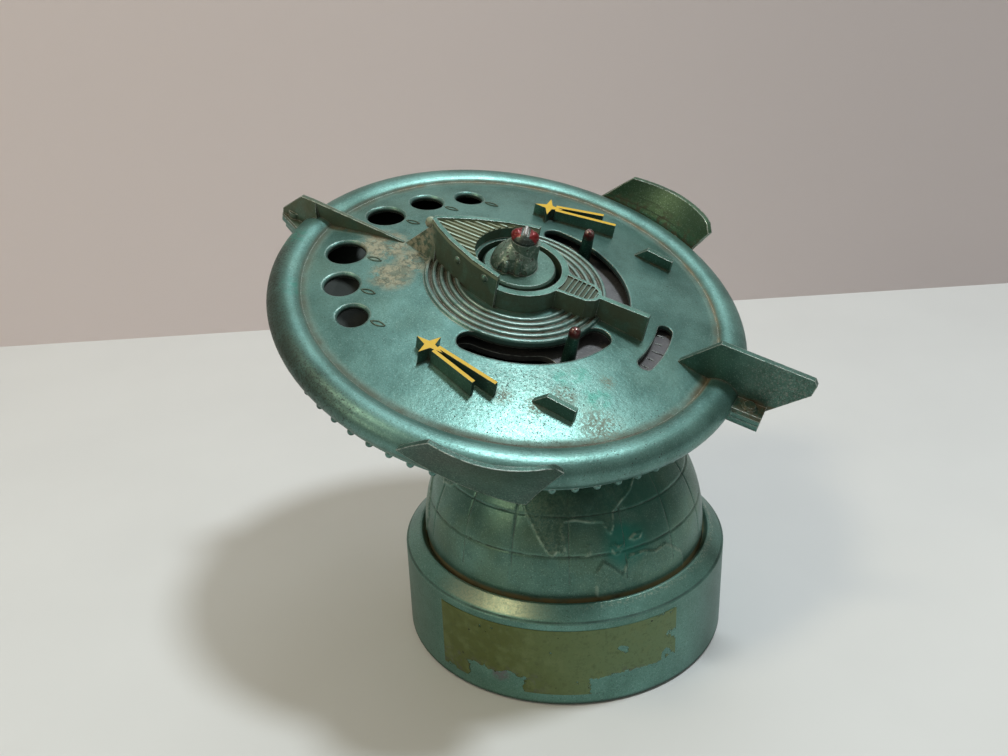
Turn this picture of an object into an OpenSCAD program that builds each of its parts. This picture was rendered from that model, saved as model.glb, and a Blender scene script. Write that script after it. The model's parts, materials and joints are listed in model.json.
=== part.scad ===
// Flying saucer coin bank: a tilted saucer on a globe that stands in a round stepped base.
// Millimetres, +Z up, origin in the middle of the face that the base rests on.
// Saucer parts are drawn in the saucer's own frame: +Z square to its plate, +X to its nose.

/* [Base] */
// Diameter of the base
base_d = 88.9; // [80:0.1:100]
// Height of the straight wall of the base
base_h = 25.9; // [22:0.1:34]
// Height of the bevelled shoulder above the wall
shoulder_h = 2.9; // [2:0.1:4]
// Width of the bevelled shoulder, seen from above
shoulder_w = 4.4; // [3.6:0.1:5]
// Wall thickness of the base
base_wall = 2.4; // [1.8:0.1:3]
// Thickness of the bottom cover
cover_t = 0.9; // [0.7:0.1:1.4]
// Turn of the label's left end from the front
label_left = 46; // [30:1:60]
// Turn of the label's right end from the front
label_right = 40; // [30:1:60]

/* [Globe] */
// Gap between the top edge of the shoulder and the globe
globe_gap = 1.45; // [1:0.05:2.5]
// Height of the globe's centre above the straight wall of the base
globe_rise = 4.7; // [2:0.1:8]
// Wall thickness of the globe
globe_wall = 2; // [1.5:0.1:3]
// Height of the neck above the top of the globe
neck_h = 2.8; // [1:0.1:8]
// Bore of the neck, wide enough for a half dollar
neck_bore = 31.2; // [28:0.1:32]
// Wall thickness of the neck
neck_wall = 3.9; // [3:0.1:5]

/* [Saucer attitude] */
// Offset of the saucer to the left of the globe's axis
saucer_left = 13.6; // [10:0.1:16]
// Offset of the saucer to the back of the globe's axis
saucer_back = 13.2; // [10:0.1:16]
// Tilt of the plate from level
tilt = 19.5; // [17:0.1:21]
// Compass direction of the lowest edge, from +X
lean_dir = -55.5; // [-65:0.5:-45]
// Nose direction, from the lowest edge
nose_turn = -146; // [-160:1:-130]

/* [Shells] */
// Outer radius of the saucer's rolled rim
rim_r = 65.1; // [64:0.1:69]
// Half width of the rolled rim
rim_half_w = 5.2; // [4.8:0.1:5.8]
// Half height of the rolled rim
rim_half_h = 4.4; // [4:0.1:5]
// Thickness of the rolled rim's wall
rim_wall = 2; // [1.6:0.1:2.4]
// Thickness of the top plate
plate_t = 1.6; // [1.2:0.1:1.9]
// Height of the plate's edge above the middle of the rim
plate_edge_z = 3.3; // [3:0.1:3.6]
// Rise of the plate from its edge to its middle
dome_rise = 5.6; // [5:0.1:7]
// Depth of the lower shell's underside below the middle of the rim
pan_depth = 8.6; // [8.2:0.1:9.2]
// Thickness of the lower shell
pan_t = 1.6; // [1.2:0.1:2]
// Number of small beads round the lower shell
bead_count = 68; // [30:1:72]

/* [Openings in the plate] */
// Middle radius of the two arc slots
slot_r = 28; // [27:0.1:30]
// Width of the arc slots
slot_w = 6.8; // [6:0.1:7.4]
// Start of the arc slots, from the nose
slot_from = 83; // [78:1:90]
// End of the arc slots, from the nose
slot_to = 172; // [165:1:173]
// Middle radius of the dial window
window_r = 41.5; // [40:0.1:43]
// Width of the dial window
window_w = 4.2; // [3.6:0.1:4.8]
// Half angle of the dial window
window_half = 14; // [10:1:16]
// Middle radius of the largest porthole
port_r = 46.8; // [46:0.1:47.5]
// Diameter of the largest porthole
port_d = 10.6; // [9.6:0.1:11.6]
// Step in diameter from one porthole to the next
port_step = 1.3; // [1:0.1:1.6]
// Width of the bevel round the portholes
port_bevel = 0.6; // [0.3:0.1:0.9]
// Number of concentric ridges round the deck
ridge_count = 5; // [3:1:5]

/* [Flight deck] */
// Height of the ring, panel and straight fin above the middle of the rim
deck_low_z = 14.2; // [13.6:0.1:15.5]
// Height of the deck's side walls above the middle of the rim
deck_high_z = 18.4; // [17:0.1:20]
// Bore of the ring round the hub
ring_bore = 22.6; // [22:0.1:24]
// Wall of the ring round the hub
ring_wall = 2; // [1.6:0.1:2.4]

/* [Turntable] */
// Lap of the turntable beyond the dial window
turntable_lap = 2.4; // [1:0.1:3]
// Thickness of the turntable
turntable_t = 1.6; // [1.2:0.1:2]
// Angle that the turntable is turned to, from the middle of its travel
turned = 17; // [-30:1:20]
// Gap between the hub and its ring
hub_gap = 1.5; // [0.6:0.1:2]
// Diameter of the turret's head
head_d = 7; // [6.6:0.1:8]
// Height of the turret above the hub
turret_h = 10.7; // [9:0.1:12]
// Reach of the turret's sloping cowl ahead of the pivot
cowl_reach = 7.8; // [7:0.1:8.4]
// Diameter of the pivot screw
pivot_d = 4; // [3:0.1:4.2]
// Diameter of a lever pin at its foot
lever_d = 3.8; // [3.4:0.1:4.6]
// Height of a lever pin above the turntable
lever_h = 11.8; // [10:0.1:13]

/* [Fins and wings] */
// Thickness of the fins
fin_t = 1.6; // [1.2:0.1:2.2]
// Height of the tail fin's top above the middle of the rim
tail_top_z = 15; // [12:0.1:18]
// Reach of the tail fin beyond the rim
tail_out = 16.9; // [13:0.1:20]
// Reach of the beak beyond the rim
beak_out = 7.1; // [5.5:0.1:9]
// Thickness of the wings
wing_t = 1.5; // [1.2:0.1:2]
// Height of the wings' top edge above the middle of the rim
wing_top_z = 10.6; // [9:0.1:12]
// Flare of the wings beyond the rim
wing_out = 6.9; // [4:0.1:9]

/* [Coin trap] */
// Bore of the trap in the bottom cover
trap_d = 38; // [34:0.1:42]
// Diameter of the lock
lock_d = 16; // [14:0.1:18]
// Diameter of the lock's plug
plug_d = 7; // [6:0.1:8]

/* [Hidden] */
$fn = 96;

fit = 0.05;          // radial clearance of a running fit
seat = 0.1;          // clearance of a part that is dropped in place
through = 40;        // length of a cut that passes right through
cut_z = -5;          // where the cuts through the plate and the turntable start
sea_green = [0.42, 0.66, 0.58];
bare_zinc = [0.55, 0.55, 0.54];
steel = [0.74, 0.74, 0.72];
brass = [0.8, 0.66, 0.3];

// Base and globe
base_r = base_d / 2;
shoulder_r = base_r - shoulder_w;
shoulder_z = base_h + shoulder_h;
globe_r = shoulder_r - globe_gap - seat;
globe_z = base_h + globe_rise;
seat_z = base_h - 0.9;
socket_r = globe_r + seat;
ledge_w = 4.4;
ledge_t = 2.2;
cover_z = 0.9;
cover_top = cover_z + cover_t;
rebate_r = base_r - base_wall + 0.9;
screw_turns = [30, 150, 270];
boss_d = 6.4;
boss_r = base_r - base_wall - boss_d / 2 + 0.6;
cover_screw_d = 2.8;
cover_screw_l = 9;

// Trap and lock
lid_z = 0.1;
lid_lap = 2.5;
spigot_top = cover_top + 0.3;
lock_top = spigot_top + 1.6;
stem_d = 4;
cam_w = 8.8;
cam_t = 1.4;
cam_z = lock_top + fit;
cam_reach = trap_d / 2 + 4;
cam_drop = cam_z - cover_top - 0.45;
nut_t = 1.8;

// Saucer frame
plate_up = [sin(tilt) * cos(lean_dir), sin(tilt) * sin(lean_dir), cos(tilt)];
down_hill = [cos(tilt) * cos(lean_dir), cos(tilt) * sin(lean_dir), -sin(tilt)];
across = cross(plate_up, down_hill);
nose_dir = cos(nose_turn) * down_hill + sin(nose_turn) * across;
left_dir = cross(plate_up, nose_dir);
neck_z = globe_z + globe_r + neck_h;
neck_r = neck_bore / 2 + neck_wall;
saucer_z = neck_z + (pan_depth + saucer_left * plate_up[0] - saucer_back * plate_up[1]) / plate_up[2];
saucer_at = [-saucer_left, saucer_back, saucer_z];
neck_from_saucer = [0, 0, neck_z] - saucer_at;
neck_at = [neck_from_saucer * nose_dir, neck_from_saucer * left_dir, -pan_depth];
neck_turns = [70, 190, 310];
neck_boss_d = 6.4;
neck_boss_h = 9;
neck_screw_d = 2.4;
neck_screw_l = 8;
neck_head_h = 1.3;

// Shells
rim_mid_r = rim_r - rim_half_w;
plate_r = rim_mid_r - rim_half_w;
joint_z = -1;
pan_r = rim_mid_r + 2.4;
ear_t = 1.6;
ear_top = 0.2;
ear_bottom = ear_top - 2 * ear_t;
ear_step = 1.2;      // the lower ear at the nose is shorter by this
ear_half_w = 7.5;
nose_reach = rim_r + beak_out;
tail_reach = rim_r + tail_out;
tab_reach = rim_r + 7.5;
tab_front_y = 5.8;
tab_back_y = -2.6;
rivet_d = 2;
nose_rivet_out = 3.3;
tail_rivet_out = 3.5;
tail_rivet_y = 3;
ear_holes = [[rim_r + nose_rivet_out, 0], [-rim_r - tail_rivet_out, tail_rivet_y]];
beak_rivet_top = ear_top + 2;
tail_foot_t = 1.3;
tail_rivet_top = ear_top + tail_foot_t;
rivet_head_h = 0.8;
plate_bore = ring_bore / 2;
ridge_pitch = 2;
ridge_h = 0.7;
ridge_top_r = slot_r - slot_w / 2 - 0.6;
port_az = [13.4, 31.4, 48];
port_in = 0.8;
bead_d = 2;

// Deck outline, from the bow to the step behind it
deck_side = [[26, 0.9], [23, 3.4], [17.5, 7], [9, 11.2], [0.5, 13.9]];
deck_bow_x = deck_side[0][0];
deck_floor_z = deck_high_z - 1.1;
plank_count = 8;
plank_pitch = 1.5;
plank_w = 0.5;
plank_h = 0.5;
prow_x = 33.4;
prow_z = deck_high_z - 1.6;
ring_r = ring_bore / 2 + ring_wall;
straight_fin_x = -37;
panel_side = [[-10.5, 5.6], [-12.6, 4.5], [-20.6, 3.9], [-22.7, 2.4], [-23.4, 0.8]];
panel_field = [[-12, 3.6], [-20.3, 3.1], [-21.8, 2], [-22.4, 0.8]];
panel_depth = 0.5;
panel_bars = 7;
panel_pitch = 1.28;
panel_bar_w = 0.32;

// Turntable, with its top a little under the plate: a disc with a wider dial under the window
turntable_r = window_r + window_w / 2 + turntable_lap;
disc_r = slot_r + slot_w / 2 + 4;
dial_half = window_half + 44;
turntable_top = dome_z(turntable_r) - plate_t - 0.4;
turntable_z = turntable_top - turntable_t;
lever_az = (slot_from + slot_to) / 2;
lever_taper = 0.8;
lever_stud_d = 2.2;
coin_gap_to = lever_az - 6;
coin_gap_from = coin_gap_to - 57.5;
hub_d = ring_bore - 2 * hub_gap;
hub_top = deck_low_z + 0.1;
turret_top = hub_top + turret_h;
head_r = head_d / 2;
cap_z = turret_top - 2.6;
cowl_r = (cowl_reach + head_r + 1.2) / 2;
cowl_h = 0.82 * turret_h;
cowl_half_w = 4.7;
post_r = 0.9;
pivot_boss_r = pivot_d / 2 + 3;
pivot_head_r = pivot_d / 2 + 0.6;
pivot_head_t = 1.1;
pivot_head_z = cap_z - pivot_head_t - 0.3;
flat_washer_t = 0.5;
spring_washer_t = 0.5;

// Wings, as a sheet between a low edge and a top edge
wing_cols = 14;
wing_rows = 5;
wing_low_az = [90.5, 118.5];
wing_top_az = [97.5, 123.5];
wing_low_z = [1.5, -6];
wing_stud_az = [102, 115];
wing_stud_z = 0.8;
wing_stud_l = 2.6;

function dome_z(r) = plate_edge_z + dome_rise * (1 - pow(r / plate_r, 2));
function dome_lean(r) = atan(2 * dome_rise * r / pow(plate_r, 2));
function on_circle(r, a) = [r * cos(a), r * sin(a)];
function between(ends, share) = ends[0] + (ends[1] - ends[0]) * share;

module at_saucer() {
  translate(saucer_at) rotate([0, 0, lean_dir]) rotate([0, tilt, 0]) rotate([0, 0, nose_turn]) children();
}

module at_turntable() {
  at_saucer() rotate([0, 0, turned]) children();
}

module both_sides() {
  children();
  mirror([0, 1, 0]) children();
}

// An arc-shaped bar with round ends, standing on z = 0
module arc_bar(r, w, from, to, h) {
  end_turn = asin(w / 2 / r);
  rotate([0, 0, from + end_turn])
    rotate_extrude(angle = to - from - 2 * end_turn) translate([r - w / 2, 0]) square([w, h]);
  for (a = [from + end_turn, to - end_turn])
    translate(on_circle(r, a)) cylinder(d = w, h = h);
}

// Section through the dome from its middle to its edge, lowered by drop
function dome_line(drop) = [for (i = [0:12]) let (r = plate_r * i / 12) [r, dome_z(r) - drop]];

module domed_plate() {
  lap_r = plate_r + 2.2;
  under = dome_line(plate_t);
  rotate_extrude()
    polygon(concat(dome_line(0), [[lap_r, plate_edge_z - 0.1], [lap_r, plate_edge_z - plate_t]],
      [for (i = [len(under) - 1:-1:0]) under[i]]));
}

module rim_solid(inset = 0) {
  rotate_extrude()
    polygon([for (a = [0:7.5:352.5])
      [rim_mid_r + (rim_half_w - inset) * cos(a), (rim_half_h - inset) * sin(a)]]);
}

module ridges() {
  foot = 0.4 * ridge_pitch;
  crest = 0.15 * ridge_pitch;
  for (i = [0:ridge_count - 1]) {
    r = ridge_top_r - i * ridge_pitch;
    z = dome_z(r);
    rotate_extrude()
      polygon([[r - foot, z - plate_t / 2], [r + foot, z - plate_t / 2], [r + foot - 0.1, z],
        [r + crest, z + ridge_h], [r - crest, z + ridge_h], [r - foot + 0.1, z]]);
  }
}

// Everything that the fittings on top of the saucer rest on, filled to below the rim
module top_surface() {
  rotate_extrude()
    polygon(concat([[0, -rim_half_h]], dome_line(0),
      [[rim_mid_r, plate_edge_z - 0.1], [rim_mid_r, -rim_half_h]]));
  rim_solid();
  ridges();
}

module base_ring() {
  wall_r = base_r - base_wall;
  edge = 0.6;
  color(sea_green) difference() {
    union() {
      rotate_extrude() polygon([
        [base_r - edge, 0], [base_r, edge], [base_r, base_h - edge], [base_r - edge, base_h],
        [shoulder_r + 0.5, shoulder_z - 0.1], [shoulder_r, shoulder_z], [shoulder_r - 0.5, shoulder_z - 0.4],
        [socket_r, shoulder_z - 1.6], [socket_r, seat_z], [socket_r - ledge_w, seat_z],
        [socket_r - ledge_w, seat_z - ledge_t], [wall_r, seat_z - ledge_t - 3], [wall_r, cover_top],
        [rebate_r, cover_top], [rebate_r, 0]
      ]);
      for (a = screw_turns) rotate([0, 0, a]) translate([boss_r, 0, cover_top])
        cylinder(d = boss_d, h = seat_z - ledge_t - cover_top);
    }
    for (a = screw_turns) rotate([0, 0, a]) translate([boss_r, 0, cover_top - 1])
      cylinder(d = cover_screw_d + 2 * fit, h = cover_screw_l + 2);
  }
}

// Places of the three bosses in the neck's wall, square to the saucer's underside
module neck_bosses() {
  for (a = neck_turns)
    translate(neck_at) rotate([0, 0, a]) translate([neck_r - 1, 0, 0]) children();
}

module globe_dome() {
  color(sea_green) difference() {
    union() {
      translate([0, 0, globe_z]) sphere(r = globe_r, $fn = 128);
      translate([0, 0, globe_z]) cylinder(r = neck_r, h = neck_z - globe_z + through / 2);
      at_saucer() neck_bosses() translate([0, 0, -neck_boss_h]) cylinder(d = neck_boss_d, h = through);
    }
    difference() {
      translate([0, 0, globe_z]) sphere(r = globe_r - globe_wall, $fn = 128);
      at_saucer() neck_bosses() translate([0, 0, -neck_boss_h]) cylinder(d = neck_boss_d, h = through);
    }
    translate([0, 0, -1]) cylinder(d = neck_bore, h = neck_z + through);
    translate([-base_r, -base_r, seat_z - base_d]) cube(base_d);
    at_saucer() translate([-base_d, -base_d, -pan_depth]) cube(2 * base_d);
    at_saucer() neck_bosses() translate([0, 0, 1 - neck_boss_h])
      cylinder(d = neck_screw_d + 2 * fit, h = through);
  }
}

module bottom_cover() {
  notch_l = trap_d + 10.4;
  notch_w = cam_w + 1.6;
  color(steel) difference() {
    translate([0, 0, cover_z]) cylinder(r = rebate_r - seat, h = cover_t);
    translate([0, 0, -1]) cylinder(d = trap_d, h = through);
    translate([-notch_w / 2, -notch_l / 2, -1]) cube([notch_w, notch_l, through]);
    for (a = screw_turns) rotate([0, 0, a]) translate([boss_r, 0, -1])
      cylinder(d = cover_screw_d + 0.4, h = through);
  }
}

module cover_screws() {
  color(steel) for (a = screw_turns) rotate([0, 0, a]) translate([boss_r, 0, 0]) difference() {
    union() {
      translate([0, 0, lid_z]) cylinder(d = 2 * cover_screw_d, h = cover_z - lid_z);
      translate([0, 0, cover_z]) cylinder(d = cover_screw_d, h = cover_screw_l);
    }
    translate([-cover_screw_d, -0.4, -1]) cube([2 * cover_screw_d, 0.8, 1.5]);
  }
}

module trap_lid() {
  color(steel) difference() {
    union() {
      translate([0, 0, lid_z]) cylinder(d = trap_d + 2 * lid_lap + 2, h = cover_z - lid_z);
      translate([0, 0, lid_z]) cylinder(d = trap_d - 4 * seat, h = spigot_top - lid_z);
    }
    translate([0, 0, cover_z]) cylinder(d = trap_d - 3, h = through);
    translate([0, 0, -1]) cylinder(d = lock_d, h = through);
  }
}

module lock_body() {
  color(brass) difference() {
    union() {
      translate([0, 0, lid_z]) cylinder(d = lock_d - 2 * fit, h = lock_top - lid_z);
      translate([0, 0, cover_z]) cylinder(d = lock_d + 3, h = 1);
    }
    translate([0, 0, -1]) cylinder(d = plug_d + 2 * fit, h = through);
  }
}

module lock_plug() {
  stem_top = cam_z + cam_t + nut_t + 0.3;
  color(brass) difference() {
    union() {
      translate([0, 0, lid_z]) cylinder(d = plug_d, h = cam_z - lid_z);
      translate([0, 0, lid_z]) cylinder(d = stem_d, h = stem_top - lid_z);
    }
    translate([-0.6, -plug_d / 2 + 0.9, -1]) cube([1.2, plug_d - 2.6, 3.6]);
  }
}

// Flat bar across the plug, cranked down at both ends to bear on the bottom cover
module lock_cam() {
  flat = 10;
  color(steel) difference() {
    union() {
      translate([-flat, -cam_w / 2, cam_z]) cube([2 * flat, cam_w, cam_t]);
      for (side = [0, 180]) rotate([0, 0, side]) rotate([90, 0, 0]) translate([0, 0, -cam_w / 2])
        linear_extrude(cam_w) polygon([[flat, cam_z], [flat, cam_z + cam_t], [flat + 1, cam_z + cam_t],
          [flat + 3.5, cam_z + cam_t - cam_drop], [cam_reach, cam_z + cam_t - cam_drop],
          [cam_reach, cam_z - cam_drop], [flat + 2.6, cam_z - cam_drop], [flat + 0.4, cam_z]]);
    }
    translate([0, 0, -1]) cylinder(d = stem_d + 2 * fit, h = through);
  }
}

module cam_nut() {
  color(steel) difference() {
    translate([0, 0, cam_z + cam_t]) cylinder(d = 2 * stem_d, h = nut_t, $fn = 6);
    translate([0, 0, -1]) cylinder(d = stem_d + 2 * fit, h = through);
  }
}

// Worn film on the front of the base
module label_film() {
  film_t = 0.12;
  film_z = 3.6;
  film_h = base_h - film_z - 2.4;
  color([0.62, 0.66, 0.32, 0.8]) rotate([0, 0, -90 - label_left])
    rotate_extrude(angle = label_left + label_right) translate([base_r + 0.01, film_z])
      square([film_t, film_h]);
}

// Flat ears at the rim: a pointed one for the beak and a square tab at the tail
module nose_ear(grow = 0, end = nose_reach) {
  half_w = ear_half_w + grow;
  polygon([[rim_mid_r, -half_w], [end + grow, -1 - grow], [end + grow, 1 + grow], [rim_mid_r, half_w]]);
}

module ear_plate(bottom, t, grow = 0, nose_end = nose_reach) {
  translate([0, 0, bottom]) linear_extrude(t) {
    nose_ear(grow, nose_end);
    translate([-tab_reach - grow, tab_back_y - grow])
      square([tab_reach + grow - rim_mid_r, tab_front_y - tab_back_y + 2 * grow]);
  }
}

module rivet_hole(p, top) {
  translate([p[0], p[1], top - through]) cylinder(d = rivet_d + 2 * fit, h = through);
}

// Cast studs of one wing, pressed into blind bores of the rim
module wing_studs(grow = 0) {
  for (a = wing_stud_az) rotate([0, 0, a]) translate([rim_r - wing_stud_l - grow, 0, wing_stud_z])
    rotate([0, 90, 0]) cylinder(d = rivet_d + 2 * grow, h = wing_stud_l + 0.5 + 2 * grow);
}

// The neck's bore, carried up through the pan along the globe's axis
module neck_hole() {
  rotate([0, 0, -nose_turn]) rotate([0, -tilt, 0]) rotate([0, 0, -lean_dir]) translate(-saucer_at)
    translate([0, 0, neck_z - through / 4]) cylinder(d = neck_bore, h = through / 2);
}

module lower_shell() {
  wall_in = pan_r - pan_t;
  boss_top = turntable_z - fit - flat_washer_t - spring_washer_t;
  color(sea_green) at_saucer() difference() {
    union() {
      rotate_extrude() polygon([
        [0, -pan_depth], [pan_r - 13, -pan_depth], [pan_r - 1.6, -pan_depth + 2.2], [pan_r, -pan_depth + 3.6],
        [pan_r, joint_z - seat], [wall_in, joint_z - seat], [wall_in, -pan_depth + 4.2],
        [wall_in - 1, -pan_depth + 3.4], [pan_r - 13.4, -pan_depth + pan_t], [0, -pan_depth + pan_t]
      ]);
      translate([0, 0, -pan_depth]) cylinder(r = pivot_boss_r, h = boss_top + pan_depth);
      difference() {
        ear_plate(ear_bottom, ear_t, 0, nose_reach - ear_step);
        translate([0, 0, -through]) cylinder(r = pan_r - 0.8, h = 2 * through);
      }
      // Beads on the bend below the rim
      for (i = [0:bead_count - 1]) rotate([0, 0, (i + 0.5) * 360 / bead_count])
        translate([pan_r - 0.3 * bead_d, 0, -pan_depth + 3.1]) sphere(d = bead_d, $fn = 16);
    }
    translate([0, 0, -through / 2]) cylinder(d = pivot_d + 2 * fit, h = through);
    for (p = ear_holes) rivet_hole(p, through / 2);
    neck_hole();
    neck_bosses() translate([0, 0, -neck_boss_h]) cylinder(d = neck_screw_d + 0.4, h = through);
  }
}

module portholes() {
  both_sides() for (i = [0:2]) let (d = port_d - i * port_step, r = port_r - i * port_in)
    rotate([0, 0, port_az[i]]) translate([r, 0, dome_z(r)]) rotate([0, dome_lean(r), 0]) {
      translate([0, 0, -2 * plate_t]) cylinder(d = d, h = 4 * plate_t);
      translate([0, 0, -port_bevel]) cylinder(d1 = d, d2 = d + 4 * port_bevel, h = 2 * port_bevel);
    }
}

module upper_shell() {
  color(sea_green) at_saucer() difference() {
    union() {
      domed_plate();
      difference() {
        rim_solid();
        // Hollow of the rolled rim, above the edge of the lower shell
        intersection() {
          rim_solid(rim_wall);
          translate([0, 0, joint_z - 1]) cylinder(r = pan_r - pan_t / 2, h = through);
        }
        translate([0, 0, joint_z - through]) cylinder(r = pan_r + seat, h = through);
        translate([0, 0, joint_z - 1]) cylinder(r = plate_r + 0.2, h = 1 + plate_edge_z - joint_z - plate_t);
      }
      ridges();
      difference() {
        ear_plate(ear_top - ear_t, ear_t);
        translate([0, 0, -through]) cylinder(r = rim_mid_r + 3, h = 2 * through);
      }
    }
    // Room for the lower shell's ears
    ear_plate(ear_bottom - 2, 2 + ear_t, seat);
    translate([0, 0, -through / 2]) cylinder(r = plate_bore, h = through);
    both_sides() translate([0, 0, cut_z]) arc_bar(slot_r, slot_w, slot_from, slot_to, through);
    translate([0, 0, cut_z]) arc_bar(window_r, window_w, 180 - window_half, 180 + window_half, through);
    portholes();
    for (p = ear_holes) rivet_hole(p, through / 2);
    both_sides() wing_studs(fit);
  }
}

// Closed outline from the points of one side, from end to end
module mirrored_outline(side) {
  polygon(concat(side, [for (i = [len(side) - 1:-1:0]) [side[i][0], -side[i][1]]]));
}

module deck_outline(inset = 0) {
  mirrored_outline([for (p = deck_side) [p[0] - inset, max(0.2, p[1] - inset)]]);
}

module flight_deck() {
  color(sea_green) at_saucer() difference() {
    union() {
      // Ring round the hub
      cylinder(r = ring_r, h = deck_low_z);
      // Boat-shaped deck: raised planks between higher side walls
      difference() {
        linear_extrude(deck_high_z) deck_outline();
        translate([0, 0, deck_floor_z + plank_h]) linear_extrude(2) deck_outline(1);
        translate([0, 0, deck_floor_z]) linear_extrude(2) difference() {
          deck_outline(1);
          for (i = [-plank_count:plank_count]) translate([0, i * plank_pitch - plank_w / 2])
            square([deck_bow_x, plank_w]);
        }
      }
      // Prow, a small pyramid ahead of the deck, with a knob on the bow
      hull() {
        linear_extrude(dome_z(prow_x)) polygon([[prow_x, 0], [22, 5.4], [22, -5.4]]);
        translate([deck_bow_x - 1.5, -0.6, 0]) cube([0.8, 1.2, prow_z]);
      }
      translate([deck_bow_x + 0.6, 0, prow_z - 0.4]) sphere(r = 1.6, $fn = 32);
      // Panel behind the hub, then the straight fin
      linear_extrude(deck_low_z) mirrored_outline(panel_side);
      translate([straight_fin_x, -fin_t / 2, 0]) cube([16, fin_t, deck_low_z]);
      // Raised rivets on the side walls
      both_sides() for (p = [[13.9, 8.4, -3.8], [4.5, 12.4, -3]]) translate([p[0], p[1], deck_high_z + p[2]])
        sphere(r = 1.1, $fn = 24);
    }
    translate([0, 0, -1]) cylinder(r = ring_bore / 2, h = through);
    translate([0, 0, deck_low_z]) cylinder(r = ring_bore / 2 + 1, h = through);
    // Recessed field of the panel, between thin bars
    translate([0, 0, deck_low_z - panel_depth]) linear_extrude(2) difference() {
      mirrored_outline(panel_field);
      circle(r = ring_r - 0.3);
      for (i = [1:panel_bars]) translate([-ring_r - i * panel_pitch, -5]) square([panel_bar_w, 10]);
    }
    top_surface();
  }
}

module small_fins() {
  fin_y = 36.6;
  fin_h = 3.6;
  front_x = -21.6;
  crest_x = -25;
  back_x = -32.8;
  foot = [front_x, crest_x, back_x];
  line = [for (x = foot) [x, dome_z(norm([x, fin_y])) + (x == front_x ? 0 : fin_h)]];
  color(sea_green) at_saucer() both_sides() difference() {
    translate([0, fin_y + fin_t / 2, 0]) rotate([90, 0, 0]) linear_extrude(fin_t)
      polygon(concat(line, [[back_x, 0], [front_x, 0]]));
    top_surface();
  }
}

// A generic comet: a four-pointed star with two straight tail bars
module comet_outline() {
  star_r = 4.2;
  star_waist = 1.2;
  bar_w = 1.1;
  bars_from = 2;
  short_to = 16;
  short_side_from = 0.45;
  short_side_to = 1.7;
  long_to = 20;
  long_side_from = -1.5;
  long_side_to = -2;
  short_bar = [[-bars_from, short_side_from], [-short_to, short_side_to]];
  long_bar = [[-bars_from, long_side_from], [-long_to, long_side_to]];
  for (a = [0, 90]) rotate(a)
    polygon([[star_r, 0], [0, star_waist], [-star_r, 0], [0, -star_waist]]);
  for (bar = [short_bar, long_bar])
    polygon([bar[0], bar[0] + [0, bar_w], bar[1] + [0, bar_w], bar[1]]);
}

module side_badges() {
  badge_x = 6.6;
  badge_y = 37.4;
  badge_at = [badge_x, badge_y];
  badge_turn = -14;
  badge_h = 3.5;
  color("gold") at_saucer() both_sides() difference() {
    translate(badge_at) rotate([0, 0, badge_turn])
      linear_extrude(dome_z(norm(badge_at)) + badge_h) comet_outline();
    top_surface();
  }
}

module nose_fin() {
  root_x = 34;
  rim_x = rim_r - 3.1;
  crest_l = 4.5;
  crest_w = 1.3;
  crest_z = 8.6;
  flange_t = 0.9;
  color(sea_green) at_saucer() difference() {
    union() {
      // Thin wedge that grows towards the rim
      hull() {
        translate([root_x, -0.4, 0]) cube([1, 0.8, dome_z(root_x) + 0.3]);
        translate([rim_x, -crest_w / 2, 0]) cube([crest_l, crest_w, crest_z]);
      }
      // Beak in front of the rim: a blade on a flange as wide as the ears, with a boss for the rivet
      hull() {
        translate([rim_x, -crest_w / 2, 0]) cube([crest_l, crest_w, crest_z]);
        translate([0, 0, ear_top]) linear_extrude(2.4)
          polygon([[rim_mid_r, -2.4], [nose_reach, -0.7], [nose_reach, 0.7], [rim_mid_r, 2.4]]);
      }
      translate([0, 0, ear_top]) linear_extrude(flange_t) nose_ear();
      translate([ear_holes[0][0], 0, ear_top]) cylinder(d = rivet_d + 2, h = beak_rivet_top + 0.6 - ear_top);
    }
    translate([rim_mid_r, -through / 2, ear_top - through]) cube(through);
    top_surface();
    rivet_hole(ear_holes[0], beak_rivet_top);
  }
}

module tail_fin() {
  foot_l = 8.4;
  root_x = rim_r - 17.6;
  color(sea_green) at_saucer() difference() {
    union() {
      translate([0, fin_t / 2, 0]) rotate([90, 0, 0]) linear_extrude(fin_t)
        polygon([[-root_x, 0], [-root_x, dome_z(root_x) + 0.2], [-rim_r + 8.7, tail_top_z],
          [-tail_reach + 1, tail_top_z], [-tail_reach, tail_top_z - 1.4],
          [-tail_reach + 0.4, tail_top_z - 4.6], [-tab_reach, ear_top], [-rim_mid_r, ear_top]]);
      translate([-tab_reach, -fin_t / 2, ear_top]) cube([foot_l, tab_front_y + fin_t / 2, tail_foot_t]);
    }
    top_surface();
    rivet_hole(ear_holes[1], through / 2);
  }
}

// Point on a wing's sheet: u runs along the rim and v up from the low edge, both from 0 to 1
function wing_point(u, v, inset) =
  let (
    corner = 2.4 * pow(max(0, u - 0.88) / 0.12, 2),
    low_z = between(wing_low_z, min(1, u / 0.92)),
    top_r = rim_r + wing_out * (0.58 + 0.42 * sin(180 * u)),
    low_r = rim_r + 0.9,
    az = between([between(wing_low_az, u), between(wing_top_az, u)], v),
    r = between([low_r, top_r], pow(v, 1.4)) - inset
  )
  [r * cos(az), r * sin(az), between([low_z, wing_top_z - corner], v)];

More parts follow.
